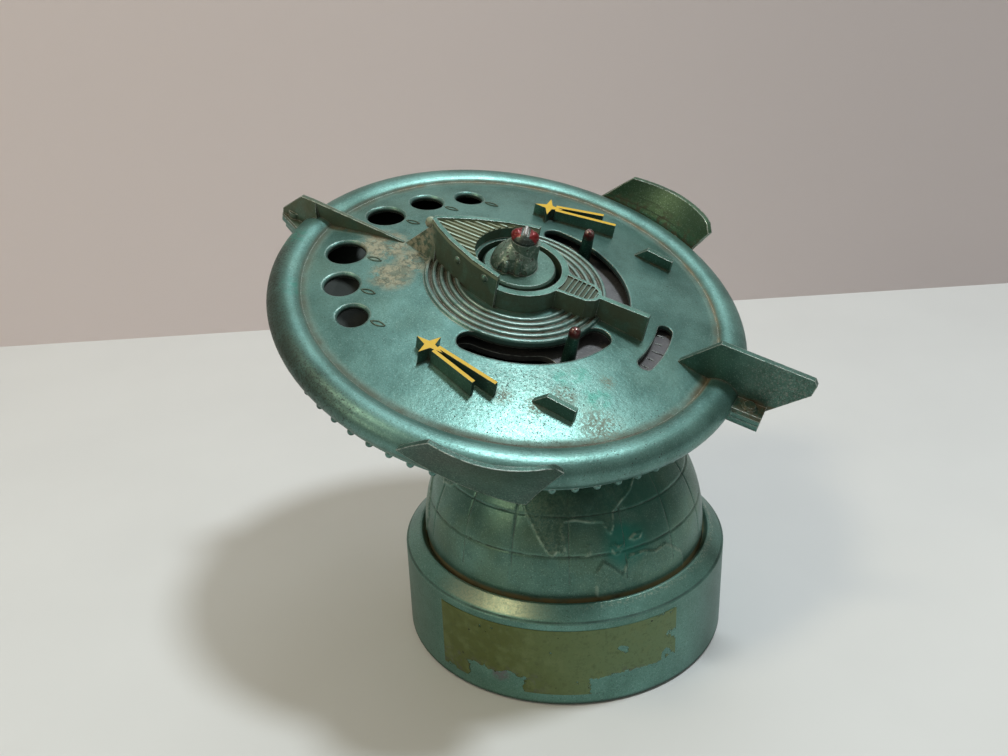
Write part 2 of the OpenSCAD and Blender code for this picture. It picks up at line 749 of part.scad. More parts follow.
// Side wing: a sheet that flares out and bulges along its length, held by two cast studs
module wing() {
  n = wing_rows + 1;
  skin = (wing_cols + 1) * n;
  grid = [for (i = [0:wing_cols]) for (j = [0:wing_rows]) [i, j]];
  points = [for (inset = [0, wing_t]) for (g = grid) wing_point(g[0] / wing_cols, g[1] / wing_rows, inset)];
  cells = [for (i = [0:wing_cols - 1]) for (j = [0:wing_rows - 1]) i * n + j];
  low_edge = [for (i = [0:wing_cols - 1]) i * n];
  lead_edge = [for (j = [0:wing_rows - 1]) j];
  last = wing_cols * n;
  outer = [for (c = cells) each [[c, c + 1, c + n + 1], [c, c + n + 1, c + n]]];
  inner = [for (f = outer) [skin + f[0], skin + f[2], skin + f[1]]];
  low = [for (c = low_edge) each [[c, c + n, skin + c + n], [c, skin + c + n, skin + c]]];
  top = [for (e = low_edge) let (c = e + wing_rows)
    each [[c, skin + c, skin + c + n], [c, skin + c + n, c + n]]];
  lead = [for (c = lead_edge) each [[c, skin + c, skin + c + 1], [c, skin + c + 1, c + 1]]];
  trail = [for (e = lead_edge) let (c = last + e)
    each [[c, c + 1, skin + c + 1], [c, skin + c + 1, skin + c]]];
  difference() {
    polyhedron(points, concat(outer, inner, low, top, lead, trail));
    rim_solid();
    translate([0, 0, -through]) cylinder(r = pan_r + seat, h = 2 * through);
  }
}

module wing_left() {
  color(sea_green) at_saucer() {
    wing();
    wing_studs();
  }
}

module wing_right() {
  color(sea_green) at_saucer() mirror([0, 1, 0]) {
    wing();
    wing_studs();
  }
}

module ear_rivets() {
  rivet_tops = [beak_rivet_top - seat, tail_rivet_top];
  color(steel) at_saucer() {
    for (i = [0, 1]) translate(ear_holes[i]) {
      translate([0, 0, ear_bottom]) cylinder(d = rivet_d, h = rivet_tops[i] - ear_bottom);
      translate([0, 0, ear_bottom - rivet_head_h])
        cylinder(d1 = 1.3 * rivet_d, d2 = 1.8 * rivet_d, h = rivet_head_h);
    }
    translate(ear_holes[1]) translate([0, 0, tail_rivet_top])
      cylinder(d1 = 2 * rivet_d, d2 = 1.5 * rivet_d, h = rivet_head_h);
  }
}

module neck_screws() {
  color(steel) at_saucer() neck_bosses() {
    translate([0, 0, pan_t - neck_screw_l]) cylinder(d = neck_screw_d, h = neck_screw_l);
    translate([0, 0, pan_t]) cylinder(d = 2 * neck_screw_d - 0.4, h = neck_head_h);
  }
}

module turntable() {
  color(bare_zinc) at_turntable() difference() {
    union() {
      translate([0, 0, turntable_z]) cylinder(r = disc_r, h = turntable_t);
      intersection() {
        translate([0, 0, turntable_z]) cylinder(r = turntable_r, h = turntable_t);
        linear_extrude(through) polygon([[0, 0], on_circle(2 * turntable_r, 180 - dial_half),
          on_circle(2 * turntable_r, 180), on_circle(2 * turntable_r, 180 + dial_half)]);
      }
      // Plain ticks under the dial window
      for (i = [-6:6]) rotate([0, 0, 180 + i * 5]) translate([window_r - 1.6, -0.25, turntable_top - 0.5])
        cube([i % 3 == 0 ? 3.2 : 1.8, 0.5, 0.75]);
    }
    translate([0, 0, -through / 2]) cylinder(d = pivot_d + 2 * fit, h = through);
    both_sides() translate([0, 0, cut_z]) arc_bar(slot_r, slot_w + 1.6, coin_gap_from, coin_gap_to, through);
    for (a = [-lever_az, lever_az]) rotate([0, 0, a]) translate([slot_r, 0, cut_z])
      cylinder(d = lever_stud_d + 2 * fit, h = through);
  }
}

// Tapered pin with a ball end, its stud headed over under the turntable
module lever() {
  tip_d = lever_d - lever_taper;
  ball_z = turntable_top + lever_h - tip_d / 2;
  translate([slot_r, 0, 0]) {
    translate([0, 0, turntable_top]) cylinder(d1 = lever_d, d2 = tip_d, h = ball_z - turntable_top);
    translate([0, 0, ball_z]) sphere(d = tip_d, $fn = 48);
    translate([0, 0, turntable_z - 0.6]) cylinder(d = lever_stud_d, h = turntable_t + 1.6);
    translate([0, 0, turntable_z - 0.9]) cylinder(d = lever_stud_d + 1.4, h = 0.9);
  }
}

module lever_front() {
  color(sea_green) at_turntable() rotate([0, 0, lever_az]) lever();
}

module lever_rear() {
  color(sea_green) at_turntable() rotate([0, 0, -lever_az]) lever();
}

// Hub with its turret: an upright head, a cowl that slopes down ahead of it, and posts at its sides
module hub_turret() {
  cowl_curve = [for (t = [0:0.125:1]) [cowl_r * (1 - t * t), hub_top + t * cowl_h]];
  back_rib_r = 1.6;
  color(sea_green) at_turntable() difference() {
    union() {
      translate([0, 0, turntable_top]) cylinder(d = hub_d, h = hub_top - turntable_top - 0.6);
      translate([0, 0, hub_top - 0.6]) cylinder(d1 = hub_d, d2 = hub_d - 1, h = 0.6);
      translate([0, 0, hub_top - 1]) cylinder(r = head_r, h = cap_z - hub_top + 1);
      translate([-head_r + 0.8, 0, hub_top - 1])
        cylinder(r = back_rib_r, h = cap_z - hub_top + 0.4, $fn = 32);
      intersection() {
        translate([cowl_reach - cowl_r, 0, 0]) rotate_extrude()
          polygon(concat([[0, hub_top - 1], [cowl_r, hub_top - 1]], cowl_curve));
        translate([-through / 2, -cowl_half_w, 0]) cube([through, 2 * cowl_half_w, through]);
      }
      // Posts with ball tops
      both_sides() for (p = [[3.4, 3.2], [0.2, 4.4]]) translate([p[0], cowl_half_w - 0.1, hub_top - 0.5]) {
        cylinder(r = post_r, h = p[1], $fn = 24);
        translate([0, 0, p[1]]) sphere(r = post_r, $fn = 24);
      }
    }
    cylinder(d = pivot_d + 2 * fit, h = through);
    translate([0, 0, pivot_head_z - fit]) cylinder(r = pivot_head_r + seat, h = through);
  }
}

// Closes the turret's head: a low dome with a lens fore and aft and a bright crest between them
module turret_cap() {
  lens_r = 1.5;
  crest_r = 0.5;
  color("firebrick") at_turntable() {
    rotate_extrude() polygon([[0, cap_z], [head_r, cap_z], [head_r, cap_z + 0.8],
      [head_r - 0.5, cap_z + 1.6], [head_r - 1.4, cap_z + 2.3], [0, turret_top]]);
    intersection() {
      for (x = [-1, 1]) translate([x * (head_r - lens_r), 0, cap_z + 0.9]) sphere(r = lens_r + 0.2, $fn = 32);
      translate([-through / 2, -through / 2, cap_z]) cube(through);
    }
    translate([0, -2, turret_top - 0.2]) rotate([-90, 0, 0]) cylinder(r = crest_r, h = 4, $fn = 24);
  }
}

// Axle of the turntable: its head is sunk in the turret, under the cap
module pivot_screw() {
  color(steel) at_saucer() {
    translate([0, 0, -pan_depth + 0.2]) cylinder(d = pivot_d, h = pivot_head_z + pan_depth);
    translate([0, 0, pivot_head_z]) cylinder(r = pivot_head_r, h = pivot_head_t);
  }
}

module washer(z, t, r) {
  translate([0, 0, z]) difference() {
    cylinder(r = r, h = t);
    translate([0, 0, -1]) cylinder(d = pivot_d + 0.3, h = t + 2);
  }
}

module flat_washer() {
  color(steel) at_saucer()
    washer(turntable_z - fit - flat_washer_t - spring_washer_t, flat_washer_t, pivot_boss_r);
}

module spring_washer() {
  color(steel) at_saucer() washer(turntable_z - fit - spring_washer_t, spring_washer_t, pivot_boss_r - 0.6);
}

base_ring();
globe_dome();
bottom_cover();
cover_screws();
trap_lid();
lock_body();
lock_plug();
lock_cam();
cam_nut();
label_film();
lower_shell();
upper_shell();
flight_deck();
small_fins();
side_badges();
nose_fin();
tail_fin();
wing_left();
wing_right();
ear_rivets();
neck_screws();
turntable();
lever_front();
lever_rear();
hub_turret();
turret_cap();
pivot_screw();
spring_washer();
flat_washer();
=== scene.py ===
import json
import math

import bmesh
import bpy
import numpy as np
from mathutils import Matrix, Vector


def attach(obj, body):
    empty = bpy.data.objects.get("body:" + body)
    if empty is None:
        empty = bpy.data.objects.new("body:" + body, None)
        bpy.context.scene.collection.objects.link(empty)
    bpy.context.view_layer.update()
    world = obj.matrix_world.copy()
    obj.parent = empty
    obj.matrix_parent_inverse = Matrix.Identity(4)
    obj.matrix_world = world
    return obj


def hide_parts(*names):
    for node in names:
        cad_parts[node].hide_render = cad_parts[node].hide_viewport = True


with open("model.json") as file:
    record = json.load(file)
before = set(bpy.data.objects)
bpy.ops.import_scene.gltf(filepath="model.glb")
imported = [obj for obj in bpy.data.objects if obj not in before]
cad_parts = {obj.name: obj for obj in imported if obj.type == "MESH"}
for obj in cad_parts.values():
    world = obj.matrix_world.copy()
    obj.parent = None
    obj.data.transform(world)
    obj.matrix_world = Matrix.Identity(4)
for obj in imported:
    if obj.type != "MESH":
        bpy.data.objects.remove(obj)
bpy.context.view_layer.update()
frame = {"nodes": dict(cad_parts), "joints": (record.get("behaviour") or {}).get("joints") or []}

nodes = frame["nodes"]


# Base ring: one zinc casting with a straight wall and a bevelled shoulder.
# It was sprayed a sea green metallic, and its edges have worn back to the zinc.
# The globe drops into its ledge, which keeps brown dirt in the groove between them.
MM = 0.001
SHOULDER_FOOT = 25.7 * MM
LIP_R = 40.9 * MM
GROOVE_R = 39.4 * MM


class Value:
    """A number, vector or colour on its way through a finish, so that masks are written as sums."""

    def __init__(self, finish, socket):
        self.finish = finish
        self.socket = socket

    def maths(self, operation, *values):
        return self.finish.node("ShaderNodeMath", {"operation": operation}, dict(enumerate(values)))

    def __add__(self, other):
        return self.maths("ADD", self, other)

    def __radd__(self, other):
        return self.maths("ADD", other, self)

    def __sub__(self, other):
        return self.maths("SUBTRACT", self, other)

    def __rsub__(self, other):
        return self.maths("SUBTRACT", other, self)

    def __mul__(self, other):
        return self.maths("MULTIPLY", self, other)

    def __rmul__(self, other):
        return self.maths("MULTIPLY", other, self)

    def size(self):
        """How far from zero."""
        return self.maths("ABSOLUTE", self)

    def rise(self, low, high):
        """0 up to low, 1 from high on, and smooth in between."""
        return self.finish.node("ShaderNodeMapRange", {"interpolation_type": "SMOOTHSTEP"},
                                {0: self, 1: low, 2: high})

    def fall(self, low, high):
        """1 up to low, 0 from high on."""
        return 1 - self.rise(low, high)


class Finish:
    """One paint, metal or film: its nodes, its layers and the shader that they end in."""

    def __init__(self, name, origin=(0, 0, 0), turn=(0, 0, 0)):
        self.material = bpy.data.materials.new(name)
        self.material.use_nodes = True
        self.tree = self.material.node_tree
        self.tree.nodes.clear()
        self.shader = self.tree.nodes.new("ShaderNodeBsdfPrincipled")
        ending = self.tree.nodes.new("ShaderNodeOutputMaterial")
        self.tree.links.new(self.shader.outputs[0], ending.inputs[0])
        coords = self.node("ShaderNodeTexCoord", out="Object")
        self.place = self.node("ShaderNodeMapping", {"vector_type": "TEXTURE"},
                               {0: coords, 1: origin, 2: turn})
        self.color, self.rough, self.metal = (0.5, 0.5, 0.5, 1), 0.5, 0.0

    def node(self, kind, settings=None, inputs=None, out=0):
        made = self.tree.nodes.new(kind)
        for name, value in (settings or {}).items():
            setattr(made, name, value)
        for key, value in (inputs or {}).items():
            if isinstance(value, Value):
                self.tree.links.new(value.socket, made.inputs[key])
            else:
                made.inputs[key].default_value = value
        return Value(self, made.outputs[out])

    def dot(self, a, b):
        return self.node("ShaderNodeVectorMath", {"operation": "DOT_PRODUCT"}, {0: a, 1: b}, out="Value")

    def axis(self, direction):
        """How far along a direction from the finish's origin, in metres."""
        return self.dot(self.place, direction)

    def facing(self, direction):
        """How squarely a face looks along a direction: 1 along it, -1 against it."""
        return self.dot(self.node("ShaderNodeNewGeometry", out="Normal"), tuple(direction))

    def reach(self, x=0.0, y=0.0, z=None):
        """Distance from an upright line at x, y, or from a point where z is given, in metres."""
        flat = self.node("ShaderNodeVectorMath", {"operation": "MULTIPLY"},
                         {0: self.place, 1: (1, 1, 0 if z is None else 1)})
        return self.node("ShaderNodeVectorMath", {"operation": "DISTANCE"},
                         {0: flat, 1: (x, y, z or 0.0)}, out="Value")

    def turn(self):
        """Compass angle round the finish's upright axis, in radians."""
        return self.axis((0, 1, 0)).maths("ARCTAN2", self.axis((0, 1, 0)), self.axis((1, 0, 0)))

    def clouds(self, size, detail=3.0, rough=0.55, shift=0.0):
        """Soft noise around 0.5 whose patches are about this many millimetres across."""
        return self.node("ShaderNodeTexNoise", {"noise_dimensions": "4D"},
                         {"Vector": self.place, "W": shift, "Scale": 1 / (size * MM),
                          "Detail": detail, "Roughness": rough})

    def dots(self, size, share, width, shift=0.0):
        """Scattered round dots: one cell in share of them, each this part of a cell wide."""
        cell = {"Vector": self.place, "Scale": 1 / (size * MM), "W": shift}
        near = self.node("ShaderNodeTexVoronoi", {"voronoi_dimensions": "4D"}, cell)
        tint = self.node("ShaderNodeTexVoronoi", {"voronoi_dimensions": "4D"}, cell, out="Color")
        pick = self.node("ShaderNodeSeparateColor", {}, {0: tint})
        return near.fall(width * 0.55, width) * pick.rise(1 - share, 1 - share + 0.02)

    def edges(self, radius):
        """1 on corners, 0 on plain faces."""
        rounded = self.node("ShaderNodeBevel", {"samples": 6}, {"Radius": radius * MM})
        plain = self.node("ShaderNodeNewGeometry", out="Normal")
        return (1 - self.dot(rounded, plain)).rise(0.015, 0.14)

    def crevices(self, distance, alone=False):
        """1 deep in corners, where shade falls and a rag doesn't reach, 0 in the open; alone leaves other
        pieces out.
        """
        return self.node("ShaderNodeAmbientOcclusion", {"samples": 8, "only_local": alone},
                         {"Distance": distance * MM}, out="AO").fall(0.35, 0.8)

    def mix(self, mask, below, above):
        return self.node("ShaderNodeMix", {"data_type": "RGBA"}, {0: mask, 6: below, 7: above}, out=2)

    def lay(self, mask, color, rough, metal):
        """Covers what is there where mask is 1."""
        self.color = self.mix(mask, self.color, (*color, 1))
        self.rough = mask * (rough - self.rough) + self.rough
        self.metal = mask * (metal - self.metal) + self.metal

    def done(self, bump=None, depth=0.05, corner=0.25):
        """Joins the layers to the shader, with bump worked depth millimetres deep on softened corners."""
        soft = self.node("ShaderNodeBevel", {"samples": 6}, {"Radius": corner * MM})
        if bump is not None:
            soft = self.node("ShaderNodeBump", {}, {"Strength": 1.0, "Distance": depth * MM,
                                                    "Height": bump, "Normal": soft})
        for key, value in (("Base Color", self.color), ("Roughness", self.rough),
                           ("Metallic", self.metal), ("Normal", soft)):
            if isinstance(value, Value):
                self.tree.links.new(value.socket, self.shader.inputs[key])
            else:
                self.shader.inputs[key].default_value = value
        return self.material


def dress(node, material):
    """Gives a CAD node its finish."""
    slots = nodes[node].data.materials
    slots.clear()
    slots.append(material)


BARE_ZINC = (0.56, 0.62, 0.58)
# Dark brown for the dirt and painted shade laid in crevices
BROWN_DIRT_AND_SHADE = (0.085, 0.052, 0.022)


def sea_green(name, origin=(0, 0, 0), turn=(0, 0, 0), light=(0.15, 0.305, 0.275), deep=(0.075, 0.17, 0.15)):
    """Sprayed metallic paint as it has aged: a little cloudy, with fine flake, pepper and chips."""
    f = Finish(name, origin, turn)
    cloud = f.clouds(13, 4)
    f.color = f.mix(cloud.rise(0.3, 0.7), (*deep, 1), (*light, 1))
    f.rough, f.metal = 0.31 + 0.12 * f.clouds(2.2, 3, shift=4), 0.74
    f.lay(f.clouds(24, 3, shift=7).rise(0.5, 0.8) * 0.3, (0.12, 0.18, 0.11), 0.5, 0.5)
    flake = f.clouds(0.3, 1, shift=2)
    f.lay(flake.rise(0.56, 0.74) * 0.3, (0.40, 0.58, 0.53), 0.32, 0.85)
    f.lay(flake.fall(0.28, 0.44) * 0.45, (0.04, 0.085, 0.07), 0.55, 0.4)
    thick = f.clouds(16, 3, shift=3).rise(0.36, 0.68)
    f.lay(f.clouds(0.5, 2, 0.7, shift=12).rise(0.6, 0.68) * (0.25 + 0.6 * thick),
          (0.035, 0.06, 0.045), 0.65, 0.2)
    f.lay(f.dots(1.3, 0.35, 0.17) * thick, (0.012, 0.018, 0.014), 0.7, 0.1)
    return f


def wear_dirt_and_shade(f, edge=0.9, dirt_and_shade=0.85, radius=0.35, deep=1.6, alone=False):
    """Rubs the corners through to the zinc, and darkens the crevices with brown dirt and painted shade."""
    grain = f.clouds(1.6, 4, 0.7, shift=21)
    f.lay(f.edges(radius) * grain.rise(0.36, 0.54) * edge, BARE_ZINC, 0.36, 0.7)
    # Brown dirt and painted shade in the crevices
    f.lay(f.crevices(deep, alone) * grain.rise(0.3, 0.62) * dirt_and_shade, BROWN_DIRT_AND_SHADE, 0.85, 0.0)


def paint_bump(f):
    """Sand-cast grain under the paint, with its finer flake."""
    return f.clouds(1.1, 3, 0.6, shift=31) + 0.35 * f.clouds(0.22, 1, shift=33)


ring_paint = sea_green("base_paint", light=(0.14, 0.30, 0.255), deep=(0.09, 0.205, 0.17))
height = ring_paint.axis((0, 0, 1))
# The shoulder is rubbed to a dull silver at the front left, lightened there as a painted highlight, and its
# inner lip at the right is rubbed to bright specks that are partly a painted highlight
on_shoulder = height.rise(SHOULDER_FOOT + 0.2 * MM, SHOULDER_FOOT + 0.7 * MM)
rubbed_and_painted_highlight = ring_paint.reach(-18.8 * MM, -38.1 * MM, 27.5 * MM).fall(6 * MM, 20 * MM) * on_shoulder
ring_paint.lay(rubbed_and_painted_highlight * (0.45 + 0.4 * ring_paint.clouds(0.5, 4, 0.7, shift=14).rise(0.36, 0.6)),
               (0.36, 0.40, 0.28), 0.29, 0.85)
lip = (ring_paint.reach() - LIP_R).size().fall(0.3 * MM, 1.0 * MM)
lip = lip * ring_paint.axis((1, 0, 0)).rise(0, 14 * MM)
ring_paint.lay(lip * ring_paint.clouds(0.6, 4, 0.7, shift=15).rise(0.5, 0.6) * on_shoulder * 0.6,
               (0.42, 0.50, 0.40), 0.3, 0.9)
# A small dull stain low on the wall, where the film is torn at the left
stain = ring_paint.reach(-16.7 * MM, -41.2 * MM, 8 * MM).fall(1 * MM, 3.6 * MM)
ring_paint.lay(stain * ring_paint.clouds(1.5, 4, 0.7, shift=16).rise(0.4, 0.55) * 0.8,
               (0.15, 0.13, 0.155), 0.7, 0.1)
# Painted shade: its sides are painted darker than its front
on_wall = height.fall(SHOULDER_FOOT - 0.7 * MM, SHOULDER_FOOT + 0.3 * MM)
painted_side_shade = ring_paint.axis((1, 0, 0)).size().rise(27 * MM, 43 * MM) * on_wall
ring_paint.lay(painted_side_shade * 0.5, (0.035, 0.085, 0.065), 0.5, 0.55)
wear_dirt_and_shade(ring_paint, edge=0.45, alone=True)
groove = ring_paint.reach().fall(GROOVE_R - 1 * MM, GROOVE_R) * height.rise(26 * MM, 27.5 * MM)
ring_paint.lay(groove * ring_paint.clouds(3, 4, shift=5).rise(0.2, 0.5), (0.27, 0.23, 0.10), 0.9, 0.0)
ring_paint.lay(groove * ring_paint.clouds(8, 4, shift=11).rise(0.5, 0.62), (0.40, 0.28, 0.12), 0.85, 0.0)
# Painted shade: the foot of the wall is painted near black where it meets the table
ring_paint.lay(height.fall(0.5 * MM, 1.6 * MM) * 0.8, (0.02, 0.03, 0.025), 0.7, 0.2)
# Black line of dirt where the wall meets the shoulder
crease = (height - SHOULDER_FOOT).size().fall(0.08 * MM, 0.3 * MM)
ring_paint.lay(crease * (0.3 + 0.45 * ring_paint.clouds(8, 4, shift=6).rise(0.36, 0.6)),
               (0.02, 0.045, 0.036), 0.7, 0.2)
dress("base_ring", ring_paint.done(paint_bump(ring_paint), 0.05, 0.35))


# Globe: a thin zinc casting on the ledge of the base, with a neck that carries the saucer.
# Its map stands up a third of a millimetre, and its graticule is cut in and holds dirt.
# The band up to the 45th parallel is made here, and the neck above it is the casting's own.
GLOBE_R = 38.5 * MM
GLOBE_WALL = 2 * MM
GLOBE_Z = 30.6 * MM
GLOBE_FOOT = 25 * MM
BAND_TOP = 45.0
MERIDIAN_STEP = 22.5
MERIDIAN_FROM = -88.0
PARALLEL_STEP = 15.0
LAND_RISE = 0.35 * MM
GROOVE_DEEP = 0.2 * MM
GROOVE_WIDE = 0.34 * MM
MERIDIAN_FOOT = 3.5
BAND_STEPS = 120
WALL_STEPS = 8
ROUND_STEPS = 576
# Coasts as bearings and heights in degrees: a plain map of the world, drawn freely
LANDS = [
    [(-112, 46), (-109.5, 36), (-107, 31), (-103, 26), (-99.5, 21), (-96, 16), (-94.2, 14.8),
     (-92.4, 17.2), (-89.6, 15.4), (-89.4, 20), (-90.5, 25), (-89.5, 28.2), (-85, 28.6), (-79, 27.4),
     (-74, 27.2), (-72.4, 23.6), (-70.8, 22), (-69.4, 25), (-68.5, 30), (-64, 33), (-58, 36), (-53, 40),
     (-47, 44), (-44, 46)],
    [(-81.8, 19), (-79.8, 19.4), (-79.6, 15.4), (-81.2, 15)],
    [(-71.5, 17.6), (-70.2, 18.8), (-68.5, 17.2), (-66, 18), (-67, 15.4), (-69, 13.6), (-71.2, 15)],
    [(-63.5, 19), (-61, 20.4), (-57.5, 20), (-58.5, 18), (-61.5, 17.6)],
    [(-78, 8), (-75, 12.4), (-71, 9.2), (-67.4, 5.4), (-65.8, 9.5), (-64.6, 12.8), (-58, 12.8),
     (-52, 10.8), (-47, 12), (-43, 8.6), (-38, 4.5), (-36, -4), (-40, -9), (-60, -9), (-72, -9),
     (-78, -2)],
    [(-186, 40), (-178, 33), (-176, 24), (-168, 17), (-163, 9), (-166, 2), (-172, -4), (-178, -9),
     (-190, -9), (-196, 2), (-197, 9), (-208, 13), (-214, 21), (-212, 30), (-206, 38), (-196, 42)],
    [(-212, 46), (-208, 42.5), (-196, 44), (-186, 42), (-180, 36), (-170, 30), (-160, 31), (-158, 27),
     (-150, 29), (-143, 34), (-133, 38), (-122, 43), (-118, 46)],
    [(30, 46), (26, 40), (33, 36), (40, 33), (47, 27), (45, 23), (50, 20), (56, 17), (62, 19), (66, 23),
     (60, 26), (62, 31), (70, 33), (76, 37), (83, 41), (88, 46)],
    [(62, 14), (70, 15), (78, 11), (88, 7), (94, 3), (90, -3), (86, -9), (68, -9), (62, -2), (58, 5)],
]


def land_at(bearing, height):
    """How far inside a coast each point lies, in degrees; negative at sea."""
    best = np.full(bearing.shape, -99.0)
    for coast in LANDS:
        xs, ys = np.array(coast, float).T
        middle = xs.mean()
        x = (bearing - middle + 180) % 360 - 180 + middle
        inside = np.zeros(x.shape, bool)
        far = np.full(x.shape, 1e9)
        for i in range(len(xs)):
            along, up = xs[i] - xs[i - 1], ys[i] - ys[i - 1]
            out_x, out_y = x - xs[i - 1], height - ys[i - 1]
            crosses = (ys[i - 1] > height) != (ys[i] > height)
            inside ^= crosses & (out_x < along * out_y / (up + 1e-9))
            share = np.clip((out_x * along + out_y * up) / (along ** 2 + up ** 2), 0, 1)
            far = np.minimum(far, np.hypot(out_x - share * along, out_y - share * up))
        best = np.maximum(best, np.where(inside, far, -far))
    return best


def smooth(x, low, high):
    share = np.clip((x - low) / (high - low), 0, 1)
    return share * share * (3 - 2 * share)


def shaded(mesh, angle=35):
    """Shades a mesh smooth, apart from edges sharper than this many degrees."""
    mesh.shade_smooth()
    shape = bmesh.new()
    shape.from_mesh(mesh)
    for edge in shape.edges:
        edge.smooth = not (len(edge.link_faces) == 2 and edge.calc_face_angle(0) > math.radians(angle))
    shape.to_mesh(mesh)
    shape.free()


def piece(name, shape, material, body, slot, *replaced):
    """Makes a bmesh into a piece that rides on a body, and frees it."""
    mesh = bpy.data.meshes.new(name)
    shape.to_mesh(mesh)
    shape.free()
    mesh.materials.append(material)
    made = bpy.data.objects.new(name, mesh)
    bpy.context.scene.collection.objects.link(made)
    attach(made, body)
    if replaced:
        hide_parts(*replaced)
    return made


def node_copy(node):
    """A CAD node's mesh, merged, as a bmesh."""
    shape = bmesh.new()
    shape.from_mesh(nodes[node].data)
    bmesh.ops.remove_doubles(shape, verts=shape.verts, dist=2e-6)
    return shape


globe = bmesh.new()
foot = math.degrees(math.asin((GLOBE_FOOT - GLOBE_Z) / GLOBE_R))
outer = [foot + (BAND_TOP - foot) * i / BAND_STEPS for i in range(BAND_STEPS + 1)]
inner_r = GLOBE_R - GLOBE_WALL
top_z = GLOBE_R * math.sin(math.radians(BAND_TOP))
profile = [(GLOBE_R * math.cos(math.radians(a)), GLOBE_R * math.sin(math.radians(a))) for a in outer]
inner = [top_z + (GLOBE_FOOT - GLOBE_Z - top_z) * i / WALL_STEPS for i in range(WALL_STEPS + 1)]
profile += [(math.sqrt(inner_r ** 2 - z ** 2), z) for z in inner]
ring = [globe.verts.new((x, 0, GLOBE_Z + z)) for x, z in profile]
wire = [globe.edges.new((ring[i - 1], ring[i])) for i in range(len(ring))]
bmesh.ops.spin(globe, geom=ring + wire, cent=(0, 0, 0), axis=(0, 0, 1), angle=math.tau,
               steps=ROUND_STEPS, use_merge=True)
bmesh.ops.remove_doubles(globe, verts=globe.verts, dist=1e-6)
bmesh.ops.recalc_face_normals(globe, faces=globe.faces)
upper = node_copy("globe_dome")
cut = bmesh.ops.bisect_plane(upper, geom=upper.verts[:] + upper.edges[:] + upper.faces[:], dist=1e-7,
                             plane_co=(0, 0, GLOBE_Z + top_z), plane_no=(0, 0, 1), clear_inner=True)
rim_edges = [e for e in cut["geom_cut"] if isinstance(e, bmesh.types.BMEdge)]
bmesh.ops.triangle_fill(upper, edges=rim_edges, use_beauty=True)
upper_mesh = bpy.data.meshes.new("neck")
upper.to_mesh(upper_mesh)
upper.free()
globe_lines = globe.verts.layers.float.new("line")
globe_land = globe.verts.layers.float.new("land")
globe_coast = globe.verts.layers.float.new("coast")
globe.verts.ensure_lookup_table()
at = np.array([v.co for v in globe.verts], float)
at[:, 2] -= GLOBE_Z
far = np.linalg.norm(at, axis=1)
skin = far > GLOBE_R - 0.2 * MM
bearing = np.degrees(np.arctan2(at[:, 1], at[:, 0]))
lat = np.degrees(np.arcsin(at[:, 2] / far))
to_meridian = np.abs((bearing - MERIDIAN_FROM + MERIDIAN_STEP / 2) % MERIDIAN_STEP - MERIDIAN_STEP / 2)
to_parallel = np.abs((lat + PARALLEL_STEP / 2) % PARALLEL_STEP - PARALLEL_STEP / 2)
# The meridians run out above the foot, and the equator isn't cut
to_meridian = np.where(lat < MERIDIAN_FOOT, 99, to_meridian)
to_parallel = np.where(lat < PARALLEL_STEP / 2, 99, to_parallel)
gap = np.minimum(np.radians(to_meridian) * GLOBE_R * np.cos(np.radians(lat)),
                 np.radians(to_parallel) * GLOBE_R)
line = 1 - smooth(gap, GROOVE_WIDE * 0.25, GROOVE_WIDE)
inland = land_at(bearing, lat)
coast = smooth(inland, -0.5, 0.1) * (1 - smooth(inland, 0.3, 0.9))
land = smooth(inland, -0.35, 0.25) * (0.6 + 0.4 * (1 - smooth(inland, 0.5, 1.4)))
lift = np.where(skin, LAND_RISE * land - GROOVE_DEEP * line * (1 - 0.4 * land), 0)
lift *= smooth(lat, foot, foot + 3) * (1 - smooth(lat, BAND_TOP - 0.7, BAND_TOP))
middle = Vector((0, 0, GLOBE_Z))
for v, up, on_line, on_land, on_coast, shown in zip(globe.verts, lift, line, land, coast, skin):
    v.co = middle + (v.co - middle) * (1 + up / GLOBE_R)
    v[globe_lines] = float(on_line) if shown else 0.0
    v[globe_land] = float(on_land) if shown else 0.0
    v[globe_coast] = float(on_coast) if shown else 0.0
globe.from_mesh(upper_mesh)

globe_paint = sea_green("globe_paint", light=(0.115, 0.24, 0.195), deep=(0.06, 0.14, 0.11))
ink, raised, shore = (globe_paint.node("ShaderNodeAttribute", {"attribute_name": name}, out="Fac")
                      for name in ("line", "land", "coast"))
speck = globe_paint.clouds(0.8, 3, 0.7, shift=43)
globe_paint.lay(globe_paint.clouds(17, 3, shift=41).rise(0.45, 0.75) * 0.3, (0.17, 0.23, 0.10), 0.5, 0.5)
# Green paint that ran from under the saucer at the back right
run = globe_paint.reach(20 * MM, -33 * MM, 52 * MM).fall(6 * MM, 21 * MM)
globe_paint.lay(run * globe_paint.clouds(6, 4, shift=49).rise(0.3, 0.62) * 0.85,
                (0.012, 0.10, 0.07), 0.42, 0.3)
fresh = globe_paint.reach(15.5 * MM, -33.5 * MM, 42 * MM).fall(3.5 * MM, 7.5 * MM)
globe_paint.lay(fresh * (0.5 + 0.5 * globe_paint.clouds(5, 3, shift=39).rise(0.3, 0.6)),
                (0.008, 0.15, 0.115), 0.4, 0.3)
pitted = raised * (0.35 + 0.65 * globe_paint.reach(-6 * MM, -35 * MM, 47 * MM).fall(7 * MM, 13 * MM))
globe_paint.lay(pitted * speck.rise(0.46, 0.6) * 0.45, (0.30, 0.37, 0.26), 0.42, 0.7)
globe_paint.lay(pitted * speck.fall(0.36, 0.46) * 0.6, (0.03, 0.045, 0.032), 0.6, 0.3)
globe_paint.lay(shore * globe_paint.clouds(2.5, 3, shift=48).rise(0.47, 0.6) * 0.5,
                (0.38, 0.48, 0.38), 0.35, 0.8)
